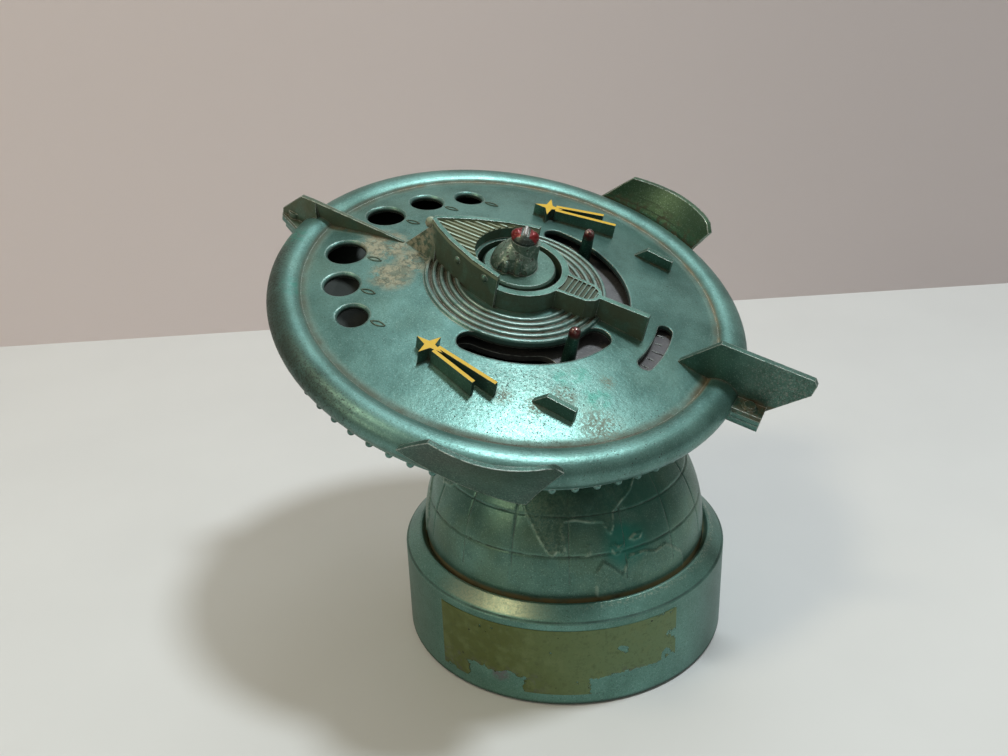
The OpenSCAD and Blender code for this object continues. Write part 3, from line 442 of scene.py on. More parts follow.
# Painted shade: darker green on the globe under the saucer
painted_shade_under_saucer = globe_paint.reach(3 * MM, -30 * MM, 56 * MM).fall(5 * MM, 17 * MM)
globe_paint.lay(painted_shade_under_saucer * globe_paint.clouds(8, 3, shift=50).rise(0.25, 0.6) * 0.6,
                (0.012, 0.055, 0.038), 0.5, 0.4)
globe_paint.lay(ink.rise(0.4, 0.95) * globe_paint.clouds(4, 4, 0.7, shift=45).rise(0.38, 0.62) * 0.75,
                (0.014, 0.028, 0.022), 0.7, 0.2)
wear_dirt_and_shade(globe_paint, edge=0.3)
foot_dirt = globe_paint.axis((0, 0, 1)).fall(28.4 * MM, 29.6 * MM)
globe_paint.lay(foot_dirt * globe_paint.clouds(5, 4, shift=47).rise(0.2, 0.5) * 0.9,
                (0.20, 0.155, 0.065), 0.9, 0.0)
globe_piece = piece("globe", globe, globe_paint.done(paint_bump(globe_paint), 0.04), "stand", "green_paint",
                    "globe_dome")
shaded(globe_piece.data, 50)


# Label film: a clear yellow film without print, stuck round the front of the base.
# It is worn into holes, and torn away along its foot at the left and at the right.
TORN_UP_TO = 8.7 * MM

film = Finish("label_film")
rightwards = film.axis((1, 0, 0)).rise(-20 * MM, 22 * MM)
film.color = film.mix(rightwards + 0.3 * film.clouds(9, 3) - 0.15,
                      (0.115, 0.15, 0.04, 1), (0.19, 0.285, 0.135, 1))
film.rough, film.metal = 0.42 + 0.15 * film.clouds(3, 3, shift=3), 0.3
sideways = film.axis((1, 0, 0))
ragged = film.axis((0, 0, 1)) + (6.5 * MM) * (film.clouds(5, 5, 0.65, shift=6) - 0.5)
torn = sideways + (10 * MM) * (film.clouds(6, 5, 0.65, shift=13) - 0.5)
at_left = (torn + 18.4 * MM).size().fall(7.6 * MM, 7.9 * MM)
at_right = torn.rise(6.2 * MM, 6.5 * MM)
peeled = (at_left + at_right) * ragged.fall(TORN_UP_TO, TORN_UP_TO + 0.2 * MM)
off_middle = (sideways - 3 * MM).size().rise(5 * MM, 12 * MM)
near_peel = ragged.fall(TORN_UP_TO, TORN_UP_TO + 2.3 * MM) * off_middle
film.lay(near_peel * film.clouds(1.5, 4, 0.7, shift=7).rise(0.48, 0.6) * 0.5, (0.12, 0.12, 0.13), 0.6, 0.1)
film.lay(film.clouds(0.6, 3, 0.7, shift=8).rise(0.55, 0.7) * 0.35, (0.05, 0.075, 0.035), 0.6, 0.1)
film.lay(film.clouds(3, 4, shift=10).rise(0.45, 0.7) * 0.45, (0.21, 0.27, 0.11), 0.5, 0.2)
film.lay(film.clouds(1.2, 5, 0.75, shift=14).rise(0.5, 0.66) * 0.4, (0.07, 0.10, 0.04), 0.55, 0.2)
film.lay(film.dots(2.2, 0.3, 0.16), (0.03, 0.03, 0.02), 0.6, 0.1)
holes = (film.clouds(6, 4, 0.5, shift=9) + 0.2 * sideways.rise(18 * MM, 32 * MM)).rise(0.66, 0.675)
worn = peeled.maths("MAXIMUM", peeled, holes)
film_material = film.done(film.clouds(2, 3, shift=12), 0.04)
cover = (0.85 - 0.15 * rightwards) * (1 - worn)
film.tree.links.new(cover.socket, film.shader.inputs["Alpha"])
dress("label_film", film_material)


# Bottom: a plated steel cover held by three slotted screws, and the trap that empties the bank.
# The trap's lid turns on nothing: it is held by the cam of its little brass lock.
plate_steel = Finish("cover_plate")
plate_steel.color = plate_steel.mix(plate_steel.clouds(8, 4), (0.36, 0.36, 0.35, 1), (0.55, 0.56, 0.56, 1))
plate_steel.rough, plate_steel.metal = 0.34 + 0.2 * plate_steel.clouds(5, 4, shift=2), 0.95
plate_steel.lay(plate_steel.clouds(3, 4, shift=5).rise(0.6, 0.7) * 0.7, (0.16, 0.085, 0.04), 0.8, 0.2)
scratches = plate_steel.node("ShaderNodeTexWave", {"wave_type": "BANDS", "bands_direction": "DIAGONAL"},
                             {"Vector": plate_steel.place, "Scale": 900.0, "Distortion": 9.0, "Detail": 3.0})
plate_metal = plate_steel.done(scratches, 0.01)
for node in ("bottom_cover", "trap_lid"):
    dress(node, plate_metal)

old_steel = Finish("old_steel")
old_steel.color = old_steel.mix(old_steel.clouds(2, 4), (0.22, 0.22, 0.20, 1), (0.5, 0.5, 0.48, 1))
old_steel.rough, old_steel.metal = 0.32 + 0.25 * old_steel.clouds(1, 3, shift=2), 0.9
wear_dirt_and_shade(old_steel, edge=0.6, radius=0.2, deep=1.0)
old_steel_metal = old_steel.done(old_steel.clouds(0.6, 3, shift=7), 0.03, 0.15)
for node in ("cover_screws", "lock_cam", "cam_nut", "neck_screws", "pivot_screw", "spring_washer",
             "flat_washer"):
    dress(node, old_steel_metal)

lock_brass = Finish("lock_brass")
lock_brass.color = lock_brass.mix(lock_brass.clouds(3, 4), (0.38, 0.25, 0.08, 1), (0.62, 0.46, 0.19, 1))
lock_brass.rough, lock_brass.metal = 0.25 + 0.25 * lock_brass.clouds(1.5, 4, shift=2), 1.0
wear_dirt_and_shade(lock_brass, edge=0.3, radius=0.2, deep=1.2)
lock_brass_metal = lock_brass.done(lock_brass.clouds(0.7, 3, shift=7), 0.02, 0.2)
for node in ("lock_body", "lock_plug"):
    dress(node, lock_brass_metal)


# Saucer shells: an upper casting with the domed plate and the rolled rim, and a lower pan.
# They are riveted at the nose and the tail, and stand tilted on the globe's neck.
# The rim's left side is rubbed dark, and dirt lies where the plate meets the rim.
turntable_joint = next(j for j in frame["joints"] if j["name"] == "turntable_turn")
SAUCER_AT = Vector(turntable_joint["pos_m"])
TILT, LEAN, NOSE_TURN = (math.radians(a) for a in (19.5, -55.5, -146.0))
saucer_turn = (Matrix.Rotation(LEAN, 3, "Z") @ Matrix.Rotation(TILT, 3, "Y")
               @ Matrix.Rotation(NOSE_TURN, 3, "Z"))
SAUCER_UP = saucer_turn @ Vector((0, 0, 1))
saucer_frame = Matrix.Translation(SAUCER_AT) @ saucer_turn.to_4x4()
SAUCER = {"origin": tuple(SAUCER_AT), "turn": tuple(saucer_turn.to_euler())}
PLATE_R = 54.7 * MM
DOME_TOP = 8.9 * MM
DOME_FALL = 5.6 * MM / PLATE_R ** 2
RIM_MID_R = 59.9 * MM
CORNER_R = 56.4 * MM
RIDGES_FROM = 15 * MM
RIDGES_TO = 24.4 * MM

shell_paint = sea_green("shell_paint", **SAUCER)
radius = shell_paint.reach()
bearing = shell_paint.turn()
height = shell_paint.axis((0, 0, 1))
on_plate = height.rise(0, 1 * MM)
# Silvery rubbed patch in front of the front slot, lightened as a painted highlight, full of black pepper
pepper = shell_paint.clouds(0.42, 3, 0.7, shift=51)
rubbed_and_painted_highlight = shell_paint.reach(-18 * MM, 38 * MM, 5 * MM).fall(4 * MM, 24 * MM)
shell_paint.lay(rubbed_and_painted_highlight * shell_paint.clouds(0.9, 4, 0.7, shift=53).rise(0.44, 0.6) * 0.5,
                (0.23, 0.36, 0.325), 0.36, 0.85)
shell_paint.lay(rubbed_and_painted_highlight * pepper.rise(0.56, 0.63) * 0.85, (0.03, 0.055, 0.045), 0.6, 0.3)
# Soot and painted shade on the outside of the rim at the left
soot_and_shade = (bearing - 0.74).size().fall(0.3, 0.85) * radius.rise(RIM_MID_R - 0.5 * MM, RIM_MID_R + 3.6 * MM)
shell_paint.lay(soot_and_shade * (0.6 + 0.3 * shell_paint.clouds(4, 4, shift=58).rise(0.3, 0.6)),
                (0.045, 0.07, 0.055), 0.42, 0.7)
soot_grain = shell_paint.clouds(0.5, 3, 0.7, shift=52) + 0.12 * soot_and_shade
shell_paint.lay(soot_and_shade.rise(0, 0.4) * soot_grain.rise(0.58, 0.7) * 0.7, (0.012, 0.017, 0.014), 0.7, 0.2)
# Fresh green where paint ran thick
for x, y, wide in ((49, 31, 5), (62, 12, 6), (-28, 22.5, 4), (-34.9, 26.8, 5), (-25.7, 26.5, 4)):
    run = shell_paint.reach(x * MM, y * MM).fall(0.3 * wide * MM, wide * MM)
    shell_paint.lay(run * shell_paint.clouds(2, 4, shift=55).rise(0.4, 0.62) * 0.55,
                    (0.02, 0.24, 0.18), 0.4, 0.3)
# Olive dirt in the corner between plate and rim, thickest at the tail
corner = radius.rise(53.4 * MM, 56.0 * MM) * radius.fall(56.6 * MM, 57.6 * MM) * height.rise(1 * MM, 3 * MM)
corner_line = (radius - CORNER_R).size().fall(0.15 * MM, 0.6 * MM) * height.rise(1 * MM, 3 * MM)
at_tail = shell_paint.reach(-56 * MM, 3 * MM).fall(3 * MM, 14 * MM)
patchy = shell_paint.clouds(7, 4, shift=57).rise(0.3, 0.62)
shell_paint.lay(corner * (0.35 + 0.4 * patchy + 0.25 * at_tail), (0.075, 0.072, 0.04), 0.8, 0.05)
far_side = shell_paint.axis((0.3, 1, 0)).fall(-16 * MM, 4 * MM)
shell_paint.lay(corner_line * far_side * shell_paint.clouds(6, 5, 0.65, shift=64).rise(0.36, 0.62) * 0.7,
                (0.20, 0.16, 0.085), 0.85, 0.0)
near_side = shell_paint.reach(-34 * MM, 45 * MM).fall(12 * MM, 34 * MM)
shell_paint.lay(corner_line * near_side * shell_paint.clouds(5, 4, shift=67).rise(0.3, 0.55) * 0.8,
                (0.06, 0.045, 0.025), 0.85, 0.0)
# Beige dust behind the small fin and on the front of the plate
for x, y, wide in ((-27.6, 31.5, 5), (-23, 38, 4), (-39, 34.5, 8), (-35, 20.4, 3), (-15, 39.5, 3.5)):
    dust = shell_paint.reach(x * MM, y * MM).fall(0.2 * wide * MM, wide * MM) * on_plate
    shell_paint.lay(dust * shell_paint.clouds(0.7, 4, 0.7, shift=x).rise(0.42, 0.58) * 0.6,
                    (0.17, 0.175, 0.12), 0.75, 0.1)
# Old glue between the bow and the portholes
for x, y, wide in ((37.8, 3.7, 9.5), (27, 6.6, 7), (29.5, 15.5, 7.5), (28.2, -4.4, 5)):
    glue = shell_paint.reach(x * MM, y * MM).fall(0.4 * wide * MM, wide * MM) * on_plate
    shell_paint.lay(glue * shell_paint.clouds(5, 5, 0.7, shift=59).rise(0.4, 0.5) * 0.75,
                    (0.17, 0.18, 0.125), 0.8, 0.1)
    crust = shell_paint.clouds(3.2, 6, 0.8, shift=60 + x).rise(0.47, 0.54)
    shell_paint.lay(glue * crust * (0.45 + 0.4 * shell_paint.clouds(0.7, 3, 0.7, shift=68)),
                    (0.40, 0.375, 0.265), 0.9, 0.0)
    cracks = (shell_paint.clouds(2.4, 4, 0.6, shift=70) - 0.5).size().fall(0.008, 0.03)
    shell_paint.lay(glue * cracks * 0.6, (0.075, 0.075, 0.045), 0.85, 0.05)
# Tan dust along the foot of the nose fin
beside_fin = shell_paint.axis((0, 1, 0)).size().fall(0.7 * MM, 3.2 * MM)
fin_foot = on_plate * beside_fin * shell_paint.axis((1, 0, 0)).rise(36 * MM, 42 * MM)
shell_paint.lay(fin_foot * radius.fall(55 * MM, 57 * MM)
                * shell_paint.clouds(2, 5, 0.7, shift=69).rise(0.34, 0.6) * 0.8,
                (0.15, 0.115, 0.06), 0.85, 0.05)
# Brown dirt and painted shade in the valleys between the ridges, and painted highlights on their crests
ridged = (radius.rise(RIDGES_FROM, RIDGES_FROM + 1 * MM) * radius.fall(RIDGES_TO - 0.8 * MM, RIDGES_TO)
          * on_plate)
over_dome = height + radius * radius * DOME_FALL
valley = ridged * over_dome.fall(DOME_TOP + 0.15 * MM, DOME_TOP + 0.5 * MM)
shell_paint.lay(valley * (0.5 + 0.5 * shell_paint.clouds(3, 4, shift=61).rise(0.3, 0.6)),
                (0.05, 0.048, 0.03), 0.8, 0.1)
# Painted highlight along the ridges' crests
crest = ridged * over_dome.rise(DOME_TOP + 0.5 * MM, DOME_TOP + 0.68 * MM)
shell_paint.lay(crest * shell_paint.clouds(2, 4, shift=62).rise(0.3, 0.5) * 0.5,
                (0.34, 0.48, 0.44), 0.36, 0.9)
# Bare zinc inside, below the plate and above the pan, painted dark as shade
under_pan = height.fall(-5 * MM, -4 * MM) * shell_paint.facing(SAUCER_UP).fall(-0.3, 0)
below_plate = over_dome.fall(DOME_TOP - 1.3 * MM, DOME_TOP - 0.7 * MM)
inside = radius.fall(RIM_MID_R - 0.9 * MM, RIM_MID_R - 0.3 * MM) * below_plate * (1 - under_pan)
shell_paint.lay(inside, (0.04, 0.05, 0.044), 0.6, 0.4)
# Fine black freckles on the front of the plate
freckled = (shell_paint.reach(-15 * MM, 39 * MM).fall(6 * MM, 30 * MM)
            + shell_paint.reach(-28 * MM, 33 * MM).fall(2 * MM, 9 * MM))
shell_paint.lay(freckled.rise(0, 1) * shell_paint.dots(0.95, 0.5, 0.27, shift=63) * 0.9,
                (0.02, 0.03, 0.025), 0.7, 0.1)
# Black pepper on the rim at the tail's near side
peppered = shell_paint.reach(-52 * MM, 32 * MM).fall(6 * MM, 24 * MM) * radius.rise(49 * MM, 56 * MM)
shell_paint.lay(peppered.rise(0, 0.6) * shell_paint.dots(0.8, 0.42, 0.3, shift=66) * 0.9,
                (0.015, 0.02, 0.018), 0.7, 0.1)
wear_dirt_and_shade(shell_paint, radius=0.5, deep=2.2)
shell_metal = shell_paint.done(paint_bump(shell_paint), 0.05, 0.75)
for node in ("upper_shell", "lower_shell"):
    dress(node, shell_metal)

# A thin raised leaf is cast on the tail side of each porthole
PORT_R = 46.8 * MM
PORT_IN = 0.8 * MM
PORT_D = 10.6 * MM
PORT_STEP = 1.3 * MM
PORT_BEARINGS = (13.4, 31.4, 48.0)
LEAF_L = 4.4 * MM
LEAF_W = 1.7 * MM
LEAF_LINE = 0.26 * MM
LEAF_UP = 0.2 * MM
LEAF_GAP = 1.1 * MM
leaves = bmesh.new()
for i, port_bearing in enumerate(PORT_BEARINGS):
    for turn in (math.radians(port_bearing), -math.radians(port_bearing)):
        port_r = PORT_R - i * PORT_IN
        middle_x = port_r * math.cos(turn) - (PORT_D - i * PORT_STEP) / 2 - LEAF_GAP - LEAF_L / 2
        middle = Vector((middle_x, port_r * math.sin(turn), 0))
        before = set(leaves.verts)
        bmesh.ops.create_circle(leaves, cap_ends=True, segments=48, radius=LEAF_L / 2)
        fresh = set(leaves.verts) - before
        for v in fresh:
            # Two arcs that meet in points
            v.co.y *= LEAF_W / LEAF_L * (0.15 + 0.85 * math.sqrt(max(0, 1 - (2 * v.co.x / LEAF_L) ** 2)))
        leaf = [f for f in leaves.faces if set(f.verts) <= fresh]
        bmesh.ops.inset_individual(leaves, faces=leaf, thickness=LEAF_LINE, use_even_offset=True)
        bmesh.ops.delete(leaves, geom=leaf, context="FACES_ONLY")
        line = [f for f in leaves.faces if f.verts[0] not in before]
        grown = bmesh.ops.extrude_face_region(leaves, geom=line)["geom"]
        bmesh.ops.translate(leaves, verts=[v for v in grown if isinstance(v, bmesh.types.BMVert)],
                            vec=(0, 0, 2 * LEAF_UP))
        bmesh.ops.recalc_face_normals(leaves, faces=[f for f in leaves.faces if f.verts[0] not in before])
        for v in set(leaves.verts) - before:
            # Laid on the dome
            x, y = v.co.x + middle.x, v.co.y + middle.y
            z = DOME_TOP - DOME_FALL * (x * x + y * y) + v.co.z - LEAF_UP
            v.co = saucer_frame @ Vector((x, y, z))
leaf_paint = sea_green("leaf_paint", **SAUCER, light=(0.13, 0.18, 0.13), deep=(0.075, 0.09, 0.06))
piece("port_leaves", leaves, leaf_paint.done(paint_bump(leaf_paint), 0.03, 0.1), "stand", "green_paint")


# Fins, deck and wings: small castings in the same paint, mostly in darker tones of it.
# The fins and the deck stand on the plate and the rim, and the wings stand outside the rim.
trim_paint = sea_green("trim_paint", **SAUCER, light=(0.095, 0.20, 0.165), deep=(0.045, 0.105, 0.08))
# The tail is grained with bare metal towards its tip, and rust brown lies on its foot and its rivet
along = trim_paint.axis((1, 0, 0))
upright = trim_paint.axis((0, 0, 1))
grained = along.fall(-74 * MM, -60 * MM) * upright.rise(2.4 * MM, 4 * MM)
trim_paint.lay(grained * trim_paint.clouds(0.6, 3, 0.75, shift=81).rise(0.5, 0.62) * 0.55,
               (0.26, 0.27, 0.24), 0.4, 0.85)
trim_paint.lay(grained * trim_paint.clouds(0.5, 3, 0.75, shift=82).rise(0.52, 0.62) * 0.6,
               (0.03, 0.035, 0.03), 0.6, 0.3)
at_nose = along.rise(30 * MM, 40 * MM)
trim_paint.lay(at_nose * (0.35 + 0.4 * trim_paint.clouds(4, 4, shift=84).rise(0.3, 0.6)),
               (0.10, 0.105, 0.06), 0.55, 0.4)
rusty = along.fall(-66 * MM, -64 * MM) * upright.fall(1.8 * MM, 3.4 * MM)
trim_paint.lay(rusty * trim_paint.clouds(2, 4, 0.7, shift=83).rise(0.36, 0.6) * 0.75,
               (0.10, 0.062, 0.026), 0.85, 0.0)
wear_dirt_and_shade(trim_paint, edge=1.0, dirt_and_shade=0.95, radius=0.4)
trim_metal = trim_paint.done(paint_bump(trim_paint), 0.06, 0.25)
for node in ("small_fins", "nose_fin", "tail_fin", "ear_rivets"):
    dress(node, trim_metal)

# The deck's walls are dull and brownish, with pale dust at the bow, and its panel's field is dark
DECK_FLOOR = 17.3 * MM
PLANK_TOP = 17.8 * MM
PLANK_STEP = 1.5 * MM
FIELD_TOP = 13.7 * MM
deck_paint = sea_green("deck_paint", **SAUCER, light=(0.15, 0.29, 0.245), deep=(0.08, 0.18, 0.145))
deck_height = deck_paint.axis((0, 0, 1))
level = deck_paint.facing(SAUCER_UP)
# Grime and painted shade: the faces that don't look up are painted dull and brownish
deck_paint.lay(level.fall(0.3, 0.7) * (0.3 + 0.5 * deck_paint.clouds(5, 4, shift=71).rise(0.3, 0.6)),
               (0.085, 0.095, 0.055), 0.6, 0.4)
bow = deck_paint.reach(30 * MM, 0).fall(3 * MM, 9 * MM) * level.fall(0.4, 0.95)
deck_paint.lay(bow * deck_paint.clouds(1.6, 4, 0.7, shift=73).rise(0.42, 0.56) * 0.7,
               (0.40, 0.37, 0.27), 0.9, 0.0)
wear_dirt_and_shade(deck_paint, edge=1.0, dirt_and_shade=0.6, radius=0.35, deep=0.9)
# Every second plank edge is rubbed bright, and the planks between them have gone olive
in_bow = (deck_height.rise(DECK_FLOOR - 0.2 * MM, DECK_FLOOR - 0.1 * MM)
          * deck_height.fall(PLANK_TOP + 0.15 * MM, PLANK_TOP + 0.3 * MM))
deck_paint.lay(in_bow * 0.92, (0.25, 0.29, 0.195), 0.6, 0.15)
across_deck = deck_paint.axis((0, 1, 0))
from_rubbed = across_deck.maths("PINGPONG", across_deck, PLANK_STEP)
on_planks = level.rise(0.7, 0.95) * deck_height.rise(PLANK_TOP - 0.3 * MM, PLANK_TOP - 0.1 * MM)
rubbed_edge = in_bow * on_planks * from_rubbed.fall(0.16 * MM, 0.3 * MM)
deck_paint.lay(rubbed_edge * deck_paint.clouds(6, 3, shift=74).rise(0.2, 0.5) * 0.95,
               (0.46, 0.60, 0.50), 0.45, 0.3)
from_field = (deck_height - FIELD_TOP).size()
field = level.rise(0.7, 0.95) * from_field.fall(0.15 * MM, 0.3 * MM)
deck_paint.lay(field * 0.85, (0.075, 0.085, 0.05), 0.7, 0.2)
dress("flight_deck", deck_paint.done(paint_bump(deck_paint), 0.06, 0.25))

# The near wing is dark with fine bright specks, and the far one is olive with fine dark streaks along it
wing_paint = sea_green("wing_paint", **SAUCER, light=(0.062, 0.15, 0.12), deep=(0.03, 0.08, 0.062))
fine = wing_paint.clouds(0.5, 3, 0.8, shift=75)
wing_paint.lay(wing_paint.clouds(9, 3, shift=76).rise(0.4, 0.65) * 0.4, (0.06, 0.09, 0.075), 0.5, 0.5)
wing_paint.lay(fine.rise(0.5, 0.62) * 0.5, (0.03, 0.045, 0.038), 0.65, 0.2)
wing_paint.lay(fine.fall(0.36, 0.46) * 0.4, (0.25, 0.34, 0.31), 0.4, 0.8)
wear_dirt_and_shade(wing_paint, edge=1.0, radius=0.5)
far_paint = sea_green("far_wing_paint", **SAUCER, light=(0.09, 0.165, 0.095), deep=(0.055, 0.11, 0.06))
drawn_out = far_paint.node("ShaderNodeVectorMath", {"operation": "MULTIPLY"},
                           {0: far_paint.place, 1: (0.06, 0.06, 1.5)})
streaks = far_paint.node("ShaderNodeTexNoise", {"noise_dimensions": "3D"},
                         {"Vector": drawn_out, "Scale": 1 / (1.4 * MM), "Detail": 3.0, "Roughness": 0.6})
far_paint.lay(streaks.rise(0.6, 0.64) * 0.55, (0.02, 0.035, 0.02), 0.7, 0.2)
far_paint.lay(far_paint.axis((0, 0, 1)).fall(3 * MM, 7 * MM)
              * far_paint.clouds(2.5, 4, shift=78).rise(0.48, 0.62) * 0.7,
              (0.08, 0.06, 0.03), 0.85, 0.0)
wear_dirt_and_shade(far_paint, edge=1.0, radius=0.5)
for side, paint in (("left", wing_paint), ("right", far_paint)):
    wing_metal = paint.done(paint_bump(paint), 0.06, 0.4)
    wing = piece("wing_" + side + "_cast", node_copy("wing_" + side), wing_metal, "stand", "green_paint",
                 "wing_" + side)
    shaded(wing.data, 40)


# Badges: a plain four-pointed comet on each side, cast proud of the saucer in the same zinc.
# Their tops are brushed yellow, and their sides are left dark green.
badge_paint = sea_green("badge_paint", **SAUCER, light=(0.10, 0.2, 0.16), deep=(0.05, 0.10, 0.08))
brushed = badge_paint.clouds(1.2, 4, shift=5).rise(0.2, 0.34)
badge_paint.lay(badge_paint.facing(SAUCER_UP).rise(0.8, 0.95) * brushed, (0.68, 0.44, 0.012), 0.42, 0.0)
wear_dirt_and_shade(badge_paint, edge=0.35, radius=0.2)
dress("side_badges", badge_paint.done(badge_paint.clouds(0.8, 3, shift=7), 0.05, 0.2))


# Turntable: a bare zinc disc under the plate, which shows through the slots and the dial window.
# Two painted lever pins are headed into it, and the hub and turret stand on it.
bare = Finish("bare_zinc", **SAUCER)
bare.color = bare.mix(bare.clouds(6, 4), (0.10, 0.10, 0.105, 1), (0.20, 0.205, 0.205, 1))
bare.rough, bare.metal = 0.45 + 0.25 * bare.clouds(2, 4, shift=2), 0.8
bare.lay(bare.clouds(0.8, 4, 0.7, shift=4).rise(0.55, 0.65) * 0.6, (0.26, 0.26, 0.25), 0.45, 0.8)
bare.lay(bare.dots(1.1, 0.3, 0.22), (0.05, 0.045, 0.04), 0.8, 0.1)
# Painted shade: the disc is darker beyond 36 mm from its middle, deep under the plate
bare.lay(bare.reach().rise(35.5 * MM, 36.5 * MM) * 0.5, (0.075, 0.07, 0.075), 0.6, 0.5)
wear_dirt_and_shade(bare, edge=0.8, dirt_and_shade=0.6)
dress("turntable", bare.done(bare.clouds(0.7, 4, shift=9), 0.08))

RED_FROM = 11.6 * MM
BARE_FROM = 13.6 * MM

lever_paint = sea_green("lever_paint", **SAUCER, light=(0.03, 0.10, 0.075), deep=(0.012, 0.05, 0.036))
lever_height = lever_paint.axis((0, 0, 1))
lever_paint.lay(lever_height.rise(RED_FROM, RED_FROM + 1.4 * MM)
                * lever_paint.clouds(1.2, 3, shift=3).rise(0.25, 0.5),
                (0.10, 0.02, 0.02), 0.35, 0.6)
lever_paint.lay(lever_height.rise(BARE_FROM, BARE_FROM + 0.8 * MM)
                * lever_paint.clouds(0.8, 3, shift=6).rise(0.45, 0.58) * 0.8,
                (0.42, 0.36, 0.34), 0.28, 0.9)
wear_dirt_and_shade(lever_paint, edge=0.3, radius=0.2)
lever_metal = lever_paint.done(paint_bump(lever_paint), 0.05, 0.2)
for node in ("lever_front", "lever_rear"):
    dress(node, lever_metal)

TURRET_FOOT = 14.5 * MM

hub_paint = sea_green("hub_paint", **SAUCER, light=(0.125, 0.235, 0.195), deep=(0.055, 0.115, 0.09))
turret = hub_paint.axis((0, 0, 1)).rise(TURRET_FOOT, TURRET_FOOT + 0.7 * MM)
hub_paint.lay(turret * 0.7, (0.17, 0.25, 0.20), 0.38, 0.45)
# Painted glints: bright specks on the turret
hub_paint.lay(turret * hub_paint.clouds(1.3, 4, 0.7, shift=65).rise(0.53, 0.62) * 0.8,
              (0.50, 0.57, 0.50), 0.32, 0.6)
hub_paint.lay(turret * hub_paint.clouds(1.1, 4, 0.7, shift=67).rise(0.56, 0.62) * 0.85,
              (0.03, 0.02, 0.015), 0.6, 0.2)
wear_dirt_and_shade(hub_paint, edge=0.8, radius=0.4, deep=2.0)
dress("hub_turret", hub_paint.done(paint_bump(hub_paint), 0.07, 0.35))

# Two red lenses in the cap, fore and aft, with bare metal rubbed bright on the crest between them
TURNED = 17.0
CAP_Z = 22.4 * MM

cap_paint = sea_green("cap_paint", **SAUCER, light=(0.09, 0.11, 0.10), deep=(0.04, 0.05, 0.045))
turned = math.radians(TURNED)
ahead = cap_paint.axis((math.cos(turned), math.sin(turned), 0))
sideways = cap_paint.axis((-math.sin(turned), math.cos(turned), 0))
cap_height = cap_paint.axis((0, 0, 1))
lens = (ahead.size().rise(1.0 * MM, 1.3 * MM) * sideways.size().fall(2.0 * MM, 2.4 * MM)
        * cap_height.rise(CAP_Z, CAP_Z + 0.3 * MM))
cap_paint.lay(lens * cap_paint.clouds(0.8, 3, 0.7, shift=77).rise(0.3, 0.44),
              (0.17, 0.008, 0.009), 0.3, 0.3)
crest = ahead.size().fall(0.5 * MM, 0.8 * MM) * cap_height.rise(CAP_Z + 2.2 * MM, CAP_Z + 2.6 * MM)
cap_paint.lay(crest * cap_paint.clouds(0.7, 3, shift=79).rise(0.3, 0.45), (0.60, 0.61, 0.59), 0.34, 0.9)
wear_dirt_and_shade(cap_paint, edge=0.6, radius=0.3, deep=0.8)
dress("turret_cap", cap_paint.done(cap_paint.clouds(0.6, 3, shift=5), 0.05, 0.2))


# Table and wall: a pale table top, with a plain wall close behind it.
# Both are only seen from their fronts, so that the bank shows from behind and from below.
TABLE = (0.70, 0.72, 0.72)
WALL = (0.79, 0.71, 0.715)
WALL_LEFT = Vector((-0.258, 0.194, 0))
WALL_RIGHT = Vector((0.2188, 0.2595, 0))
WALL_UP = Vector((0, 0, 0.3))
WALL_RUN = 2.0
TABLE_HALF = 3.0


def stage_sheet(name, corners, material):
    sheet = bmesh.new()
    sheet.faces.new([sheet.verts.new(c) for c in corners])
    mesh = bpy.data.meshes.new(name)
    sheet.to_mesh(mesh)
    sheet.free()
    mesh.materials.append(material)
    made = bpy.data.objects.new(name, mesh)
    bpy.context.scene.collection.objects.link(made)


def one_sided(finish):
    """The finish, clear from behind."""
    material = finish.done()
    clear = finish.tree.nodes.new("ShaderNodeBsdfTransparent")
    chosen = finish.tree.nodes.new("ShaderNodeMixShader")
    from_behind = finish.node("ShaderNodeNewGeometry", out="Backfacing")
    finish.tree.links.new(from_behind.socket, chosen.inputs[0])
    finish.tree.links.new(finish.shader.outputs[0], chosen.inputs[1])
    finish.tree.links.new(clear.outputs[0], chosen.inputs[2])
    finish.tree.links.new(chosen.outputs[0], finish.tree.nodes["Material Output"].inputs[0])
    return material


table_top = Finish("table_top")
table_top.color = table_top.mix(table_top.clouds(60, 3).rise(0.3, 0.7),
                                (*(c * 0.97 for c in TABLE), 1), (*TABLE, 1))
table_top.rough = 0.5
table_corners = [(x * TABLE_HALF, y * TABLE_HALF, 0) for x, y in ((-1, -1), (1, -1), (1, 1), (-1, 1))]
stage_sheet("table", table_corners, one_sided(table_top))

wall = Finish("wall")
# Painted light: the wall is lighter at the left and darker at the right
painted_light_across = wall.axis((1, 0, 0)).rise(-0.12, 0.22)
wall.color, wall.rough = wall.mix(painted_light_across, (*WALL, 1), (*(c * 0.79 for c in WALL), 1)), 0.9
past_end = WALL_RUN * (WALL_RIGHT - WALL_LEFT).normalized()
left_end = WALL_LEFT - past_end
right_end = WALL_RIGHT + past_end
stage_sheet("wall", [left_end, right_end, right_end + WALL_UP, left_end + WALL_UP], one_sided(wall))


# Light: a soft lamp overhead, a little to the right, a weaker cool one behind it, two weak warm ones
# at the left and the front left, and a pale room that is darker low down.
BANK_MIDDLE = Vector((0, 0, 0.06))
ROOM_LOW = (0.09, 0.09, 0.078, 1)
ROOM_HIGH = (0.33, 0.33, 0.30, 1)
BACKDROP = (0.60, 0.60, 0.57, 1)


def soft_lamp(name, place, size, power, color):
    lamp = bpy.data.lights.new(name, "AREA")
    lamp.shape, lamp.size, lamp.energy, lamp.color = "DISK", size, power, color
    made = bpy.data.objects.new(name, lamp)
    made.location = place
    made.rotation_mode = "QUATERNION"
    made.rotation_quaternion = (BANK_MIDDLE - Vector(place)).to_track_quat("-Z", "Y")
    bpy.context.scene.collection.objects.link(made)


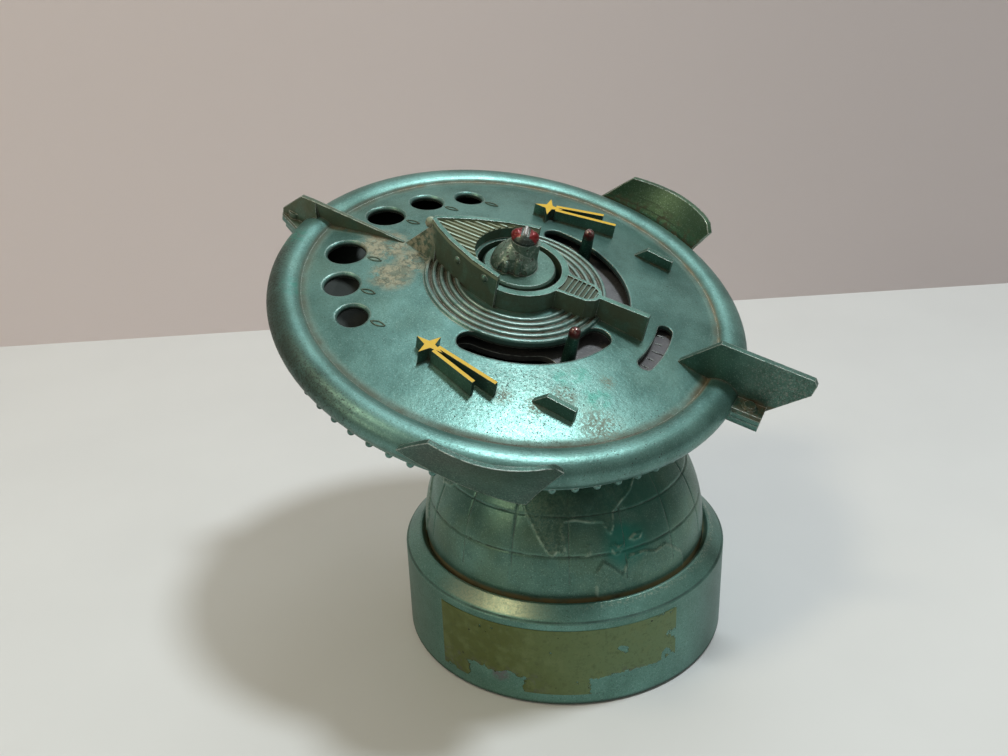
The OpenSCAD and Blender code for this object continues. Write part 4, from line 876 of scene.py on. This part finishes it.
soft_lamp("key", (0.34, 0.06, 1.2), 0.2, 7.8, (0.90, 0.96, 1.0))
soft_lamp("left", (-0.45, -0.24, 0.97), 0.2, 1.9, (1.0, 0.84, 0.58))
soft_lamp("front", (-0.78, -0.6, 0.5), 0.25, 1.15, (1.0, 0.84, 0.58))
soft_lamp("back", (0.12, 0.55, 1.05), 0.5, 1.15, (0.85, 0.94, 1.0))
room = bpy.data.worlds.new("room")
room.use_nodes = True
sky = room.node_tree
up = sky.nodes.new("ShaderNodeSeparateXYZ")
sky.links.new(sky.nodes.new("ShaderNodeTexCoord").outputs["Generated"], up.inputs[0])
ceiling = sky.nodes.new("ShaderNodeMapRange")
ceiling.inputs[1].default_value, ceiling.inputs[2].default_value = 0.05, 0.7
sky.links.new(up.outputs["Z"], ceiling.inputs[0])
tone = sky.nodes.new("ShaderNodeMix")
tone.data_type = "RGBA"
tone.inputs[6].default_value = ROOM_LOW
tone.inputs[7].default_value = ROOM_HIGH
sky.links.new(ceiling.outputs[0], tone.inputs[0])
# Past the table's end the eye meets a pale backdrop
backdrop = sky.nodes.new("ShaderNodeMix")
backdrop.data_type = "RGBA"
backdrop.inputs[7].default_value = BACKDROP
sky.links.new(sky.nodes.new("ShaderNodeLightPath").outputs["Is Camera Ray"], backdrop.inputs[0])
sky.links.new(tone.outputs[2], backdrop.inputs[6])
sky.links.new(backdrop.outputs[2], sky.nodes["Background"].inputs[0])
bpy.context.scene.world = room
bpy.context.scene.view_settings.view_transform = "Standard"


# Camera: it stands where the photograph was taken from, in front of the bank and above it,
# and looks down on it by about 25 degrees.
EYE_AT = (0, -0.2725, 0.1998)
LENS_MM = 40.37
SENSOR_MM = 36

eye = bpy.data.objects.new("camera", bpy.data.cameras.new("camera"))
bpy.context.scene.collection.objects.link(eye)
look = Vector((-0.0515, 0.9048, -0.4228)).normalized()
side = Vector((0.9986, 0.0427, -0.0304))
side = (side - side.dot(look) * look).normalized()
over = side.cross(look)
eye.matrix_world = Matrix.Translation(EYE_AT) @ Matrix((side, over, -look)).transposed().to_4x4()
eye.data.sensor_width = SENSOR_MM
eye.data.lens = LENS_MM
eye.data.clip_start, eye.data.clip_end = 0.01, 20
bpy.context.scene.camera = eye
